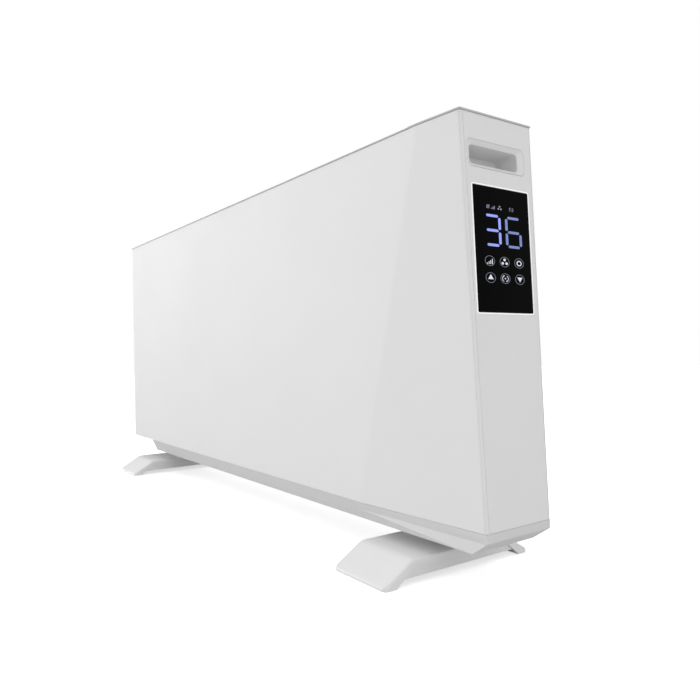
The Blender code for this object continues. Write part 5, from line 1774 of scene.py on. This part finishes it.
@dataclass
class Electronics:
    """Power board with its parts and relays, terminal block, sensor and looms."""

    board_face_lift: float = 0.05 * MM

    def build(self) -> None:
        """Builds the parts in the control compartment."""
        add_piece("power_board_laminate", frame_copy("power_board"), BOARD, ("power_board",),
                  soften=0.2 * MM)
        for node in ("relay_1", "relay_2"):
            self.build_relay(node)
        add_piece("three_way_terminal_block", frame_copy("terminal_block"), WHITE_ABS,
                  ("terminal_block",), soften=0.5 * MM)
        self.build_board_parts()
        dress(BLACK_ABS, "room_sensor", "loom_elements", "loom_display")

    def build_relay(self, node: str) -> None:
        """Moulds one relay case with its sealing lip.

        Args:
            node: the frame node it stands for.
        """
        low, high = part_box(node)
        lip = 2 * MM
        shape = block((low.x + 0.4 * MM, low.y, low.z + 0.4 * MM),
                      (high.x - 0.4 * MM, high.y - lip, high.z - 0.4 * MM))
        base = block((low.x, high.y - lip - FORM.gap, low.z), high)
        shape = carved(shape, base, Carve.JOIN)
        add_piece(f"sealed_{node}", shape, BLACK_ABS, (node,), soften=0.5 * MM)

    def build_board_parts(self) -> None:
        """Places the smoothing capacitors, a coil and resistors on the board."""
        low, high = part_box("power_board")
        face = low.y - self.board_face_lift
        cans = bmesh.new()
        for across, up, radius, tall in ((0.14, 0.24, 6 * MM, 14 * MM), (0.30, 0.22, 5 * MM, 12 * MM),
                                         (0.12, 0.72, 4 * MM, 10 * MM)):
            place = Vector((low.x + across * (high.x - low.x), 0.0, low.z + up * (high.z - low.z)))
            end = face - tall
            profile = [(0.0, face), (radius, face), (radius, face - 0.8 * MM),
                       (radius - 0.4 * MM, face - 1.3 * MM), (radius, face - 1.8 * MM),
                       (radius, end + 0.8 * MM), (radius - 0.8 * MM, end), (0.0, end)]
            turned(profile, place, (0.0, 1.0, 0.0), steps=28, shape=cans)
        add_piece("board_capacitors", cans, BLACK_ABS)
        coil = bmesh.new()
        place = Vector((low.x + 0.52 * (high.x - low.x), 0.0, low.z + 0.16 * (high.z - low.z)))
        profile = [(2.5 * MM, face), (7 * MM, face), (7.5 * MM, face - 1 * MM), (7.5 * MM, face - 7 * MM),
                   (7 * MM, face - 8 * MM), (2.5 * MM, face - 8 * MM)]
        turned(profile, place, (0.0, 1.0, 0.0), steps=36, shape=coil)
        add_piece("board_choke", coil, COPPER)
        chips = bmesh.new()
        for number in range(6):
            start = low.x + (0.62 + 0.05 * number) * (high.x - low.x)
            height = low.z + 0.14 * (high.z - low.z)
            block((start, face - 2.4 * MM, height), (start + 2.4 * MM, face, height + 8 * MM), chips)
        add_piece("board_resistors", chips, CERAMIC, soften=0.5 * MM)


@dataclass
class TipSwitch:
    """Tip-over switch: an open box in which a weighted pendulum hangs on a pin."""

    def build(self) -> None:
        """Builds the box, the pin and the pendulum."""
        add_piece("tip_switch_box", frame_copy("tilt_switch_body"), BLACK_ABS, ("tilt_switch_body",),
                  soften=0.4 * MM)
        add_piece("weighted_pendulum", frame_copy("tilt_pendulum"), ZINC, ("tilt_pendulum",),
                  body=Body.PENDULUM, soften=0.3 * MM)
        dress(ZINC, "tilt_pin")


# ---------------------------------------------------------------- studio

@dataclass
class Studio:
    """White floor, even surrounding light, three soft lamps and the camera."""

    camera_place: Triple = (0.8645, -0.4633, 0.2199)
    camera_yaw: float = math.radians(-54.44)
    camera_roll: float = math.radians(-0.95)
    lens_mm: float = 33.61
    floor_size: float = 12.0
    surround: float = 0.60
    floor_lift: float = 0.6
    floor_bounce: str = "#E6E6E6"
    lamps: tuple[tuple[str, Triple, float, float], ...] = field(default=(
        ("key", (-0.90, -0.42, 0.22), 1.55, 30.0),
        ("end", (0.90, -0.10, 0.20), 0.55, 30.0),
        ("top", (0.0, -0.1, 1.0), 0.45, 40.0),
    ))

    def build(self) -> None:
        """Builds the floor, the light and the camera."""
        self.build_floor()
        self.build_surround()
        for name, towards, strength, spread in self.lamps:
            self.build_lamp(name, Vector(towards), strength, spread)
        self.build_camera()
        bpy.context.scene.view_settings.view_transform = "Standard"

    def build_floor(self) -> None:
        """Lays a plain pale floor, which looks white to the camera and a little darker to the heater."""
        shape = bmesh.new()
        bmesh.ops.create_grid(shape, x_segments=1, y_segments=1, size=self.floor_size / 2)
        mesh = bpy.data.meshes.new("studio_floor")
        shape.to_mesh(mesh)
        shape.free()
        material = bpy.data.materials.new("studio_floor_matt_white")
        material.use_nodes = True
        tree = material.node_tree
        shader = tree.nodes["Principled BSDF"]
        shader.inputs["Roughness"].default_value = 0.9
        shader.inputs["Specular IOR Level"].default_value = 0.1
        shader.inputs["Emission Color"].default_value = srgb("#FFFFFF")
        path = add_node(tree, "ShaderNodeLightPath")
        lift = add_node(tree, "ShaderNodeMath", {
            0: path.outputs["Is Camera Ray"], 1: self.floor_lift}, operation="MULTIPLY")
        tree.links.new(lift.outputs["Value"], shader.inputs["Emission Strength"])
        shade = add_node(tree, "ShaderNodeValToRGB", {"Fac": path.outputs["Is Camera Ray"]})
        shade.color_ramp.elements[0].color = srgb(self.floor_bounce)
        shade.color_ramp.elements[1].color = srgb("#FAFAFA")
        tree.links.new(shade.outputs["Color"], shader.inputs["Base Color"])
        mesh.materials.append(material)
        floor = bpy.data.objects.new("studio_floor", mesh)
        bpy.context.scene.collection.objects.link(floor)

    def build_surround(self) -> None:
        """Fills the room with an even light; the backdrop itself is white."""
        world = bpy.data.worlds.new("studio_surround")
        world.use_nodes = True
        tree = world.node_tree
        tree.nodes.clear()
        path = add_node(tree, "ShaderNodeLightPath")
        room, backdrop = (add_node(tree, "ShaderNodeBackground", {
            "Color": srgb("#FFFFFF"), "Strength": strength}) for strength in (self.surround, 1.0))
        mixed = add_node(tree, "ShaderNodeMixShader", {"Fac": path.outputs["Is Camera Ray"]})
        tree.links.new(room.outputs["Background"], mixed.inputs[1])
        tree.links.new(backdrop.outputs["Background"], mixed.inputs[2])
        add_node(tree, "ShaderNodeOutputWorld", {"Surface": mixed.outputs["Shader"]})
        bpy.context.scene.world = world

    def build_lamp(self, name: str, towards: Vector, strength: float, spread: float) -> None:
        """Adds one broad lamp far away.

        Args:
            name: the lamp's name.
            towards: direction from the heater to the lamp.
            strength: its strength on a surface that faces it.
            spread: its angular width in degrees.
        """
        lamp = bpy.data.lights.new(f"studio_{name}", "SUN")
        lamp.energy = strength
        lamp.angle = math.radians(spread)
        holder = bpy.data.objects.new(f"studio_{name}", lamp)
        holder.rotation_euler = towards.to_track_quat("Z", "Y").to_euler()
        bpy.context.scene.collection.objects.link(holder)

    def build_camera(self) -> None:
        """Sets the camera low beside the display end."""
        ahead = Vector((math.sin(self.camera_yaw), math.cos(self.camera_yaw), 0.0007)).normalized()
        side = ahead.cross(Vector((0.0, 0.0, 1.0))).normalized()
        up = side.cross(ahead)
        across = side * math.cos(self.camera_roll) + up * math.sin(self.camera_roll)
        upright = up * math.cos(self.camera_roll) - side * math.sin(self.camera_roll)
        camera = bpy.data.cameras.new("studio_camera")
        camera.lens = self.lens_mm
        camera.clip_start = 0.01
        holder = bpy.data.objects.new("studio_camera", camera)
        turn = Matrix((across, upright, -ahead)).transposed().to_4x4()
        holder.matrix_world = Matrix.Translation(self.camera_place) @ turn
        bpy.context.scene.collection.objects.link(holder)
        bpy.context.scene.camera = holder


# ---------------------------------------------------------------- assembly


def main() -> None:
    """Builds every sub-assembly in order, then the studio."""
    logging.basicConfig(level=logging.INFO, format="%(name)s: %(message)s")
    for part in (Casing(), Base(), Screws(), Display(), RearFittings(), FanUnit(), HeaterUnit(),
                 Electronics(), TipSwitch(), Studio()):
        part.build()
        LOG.info("finished %s", type(part).__name__)


if __name__ == "__main__":
    main()
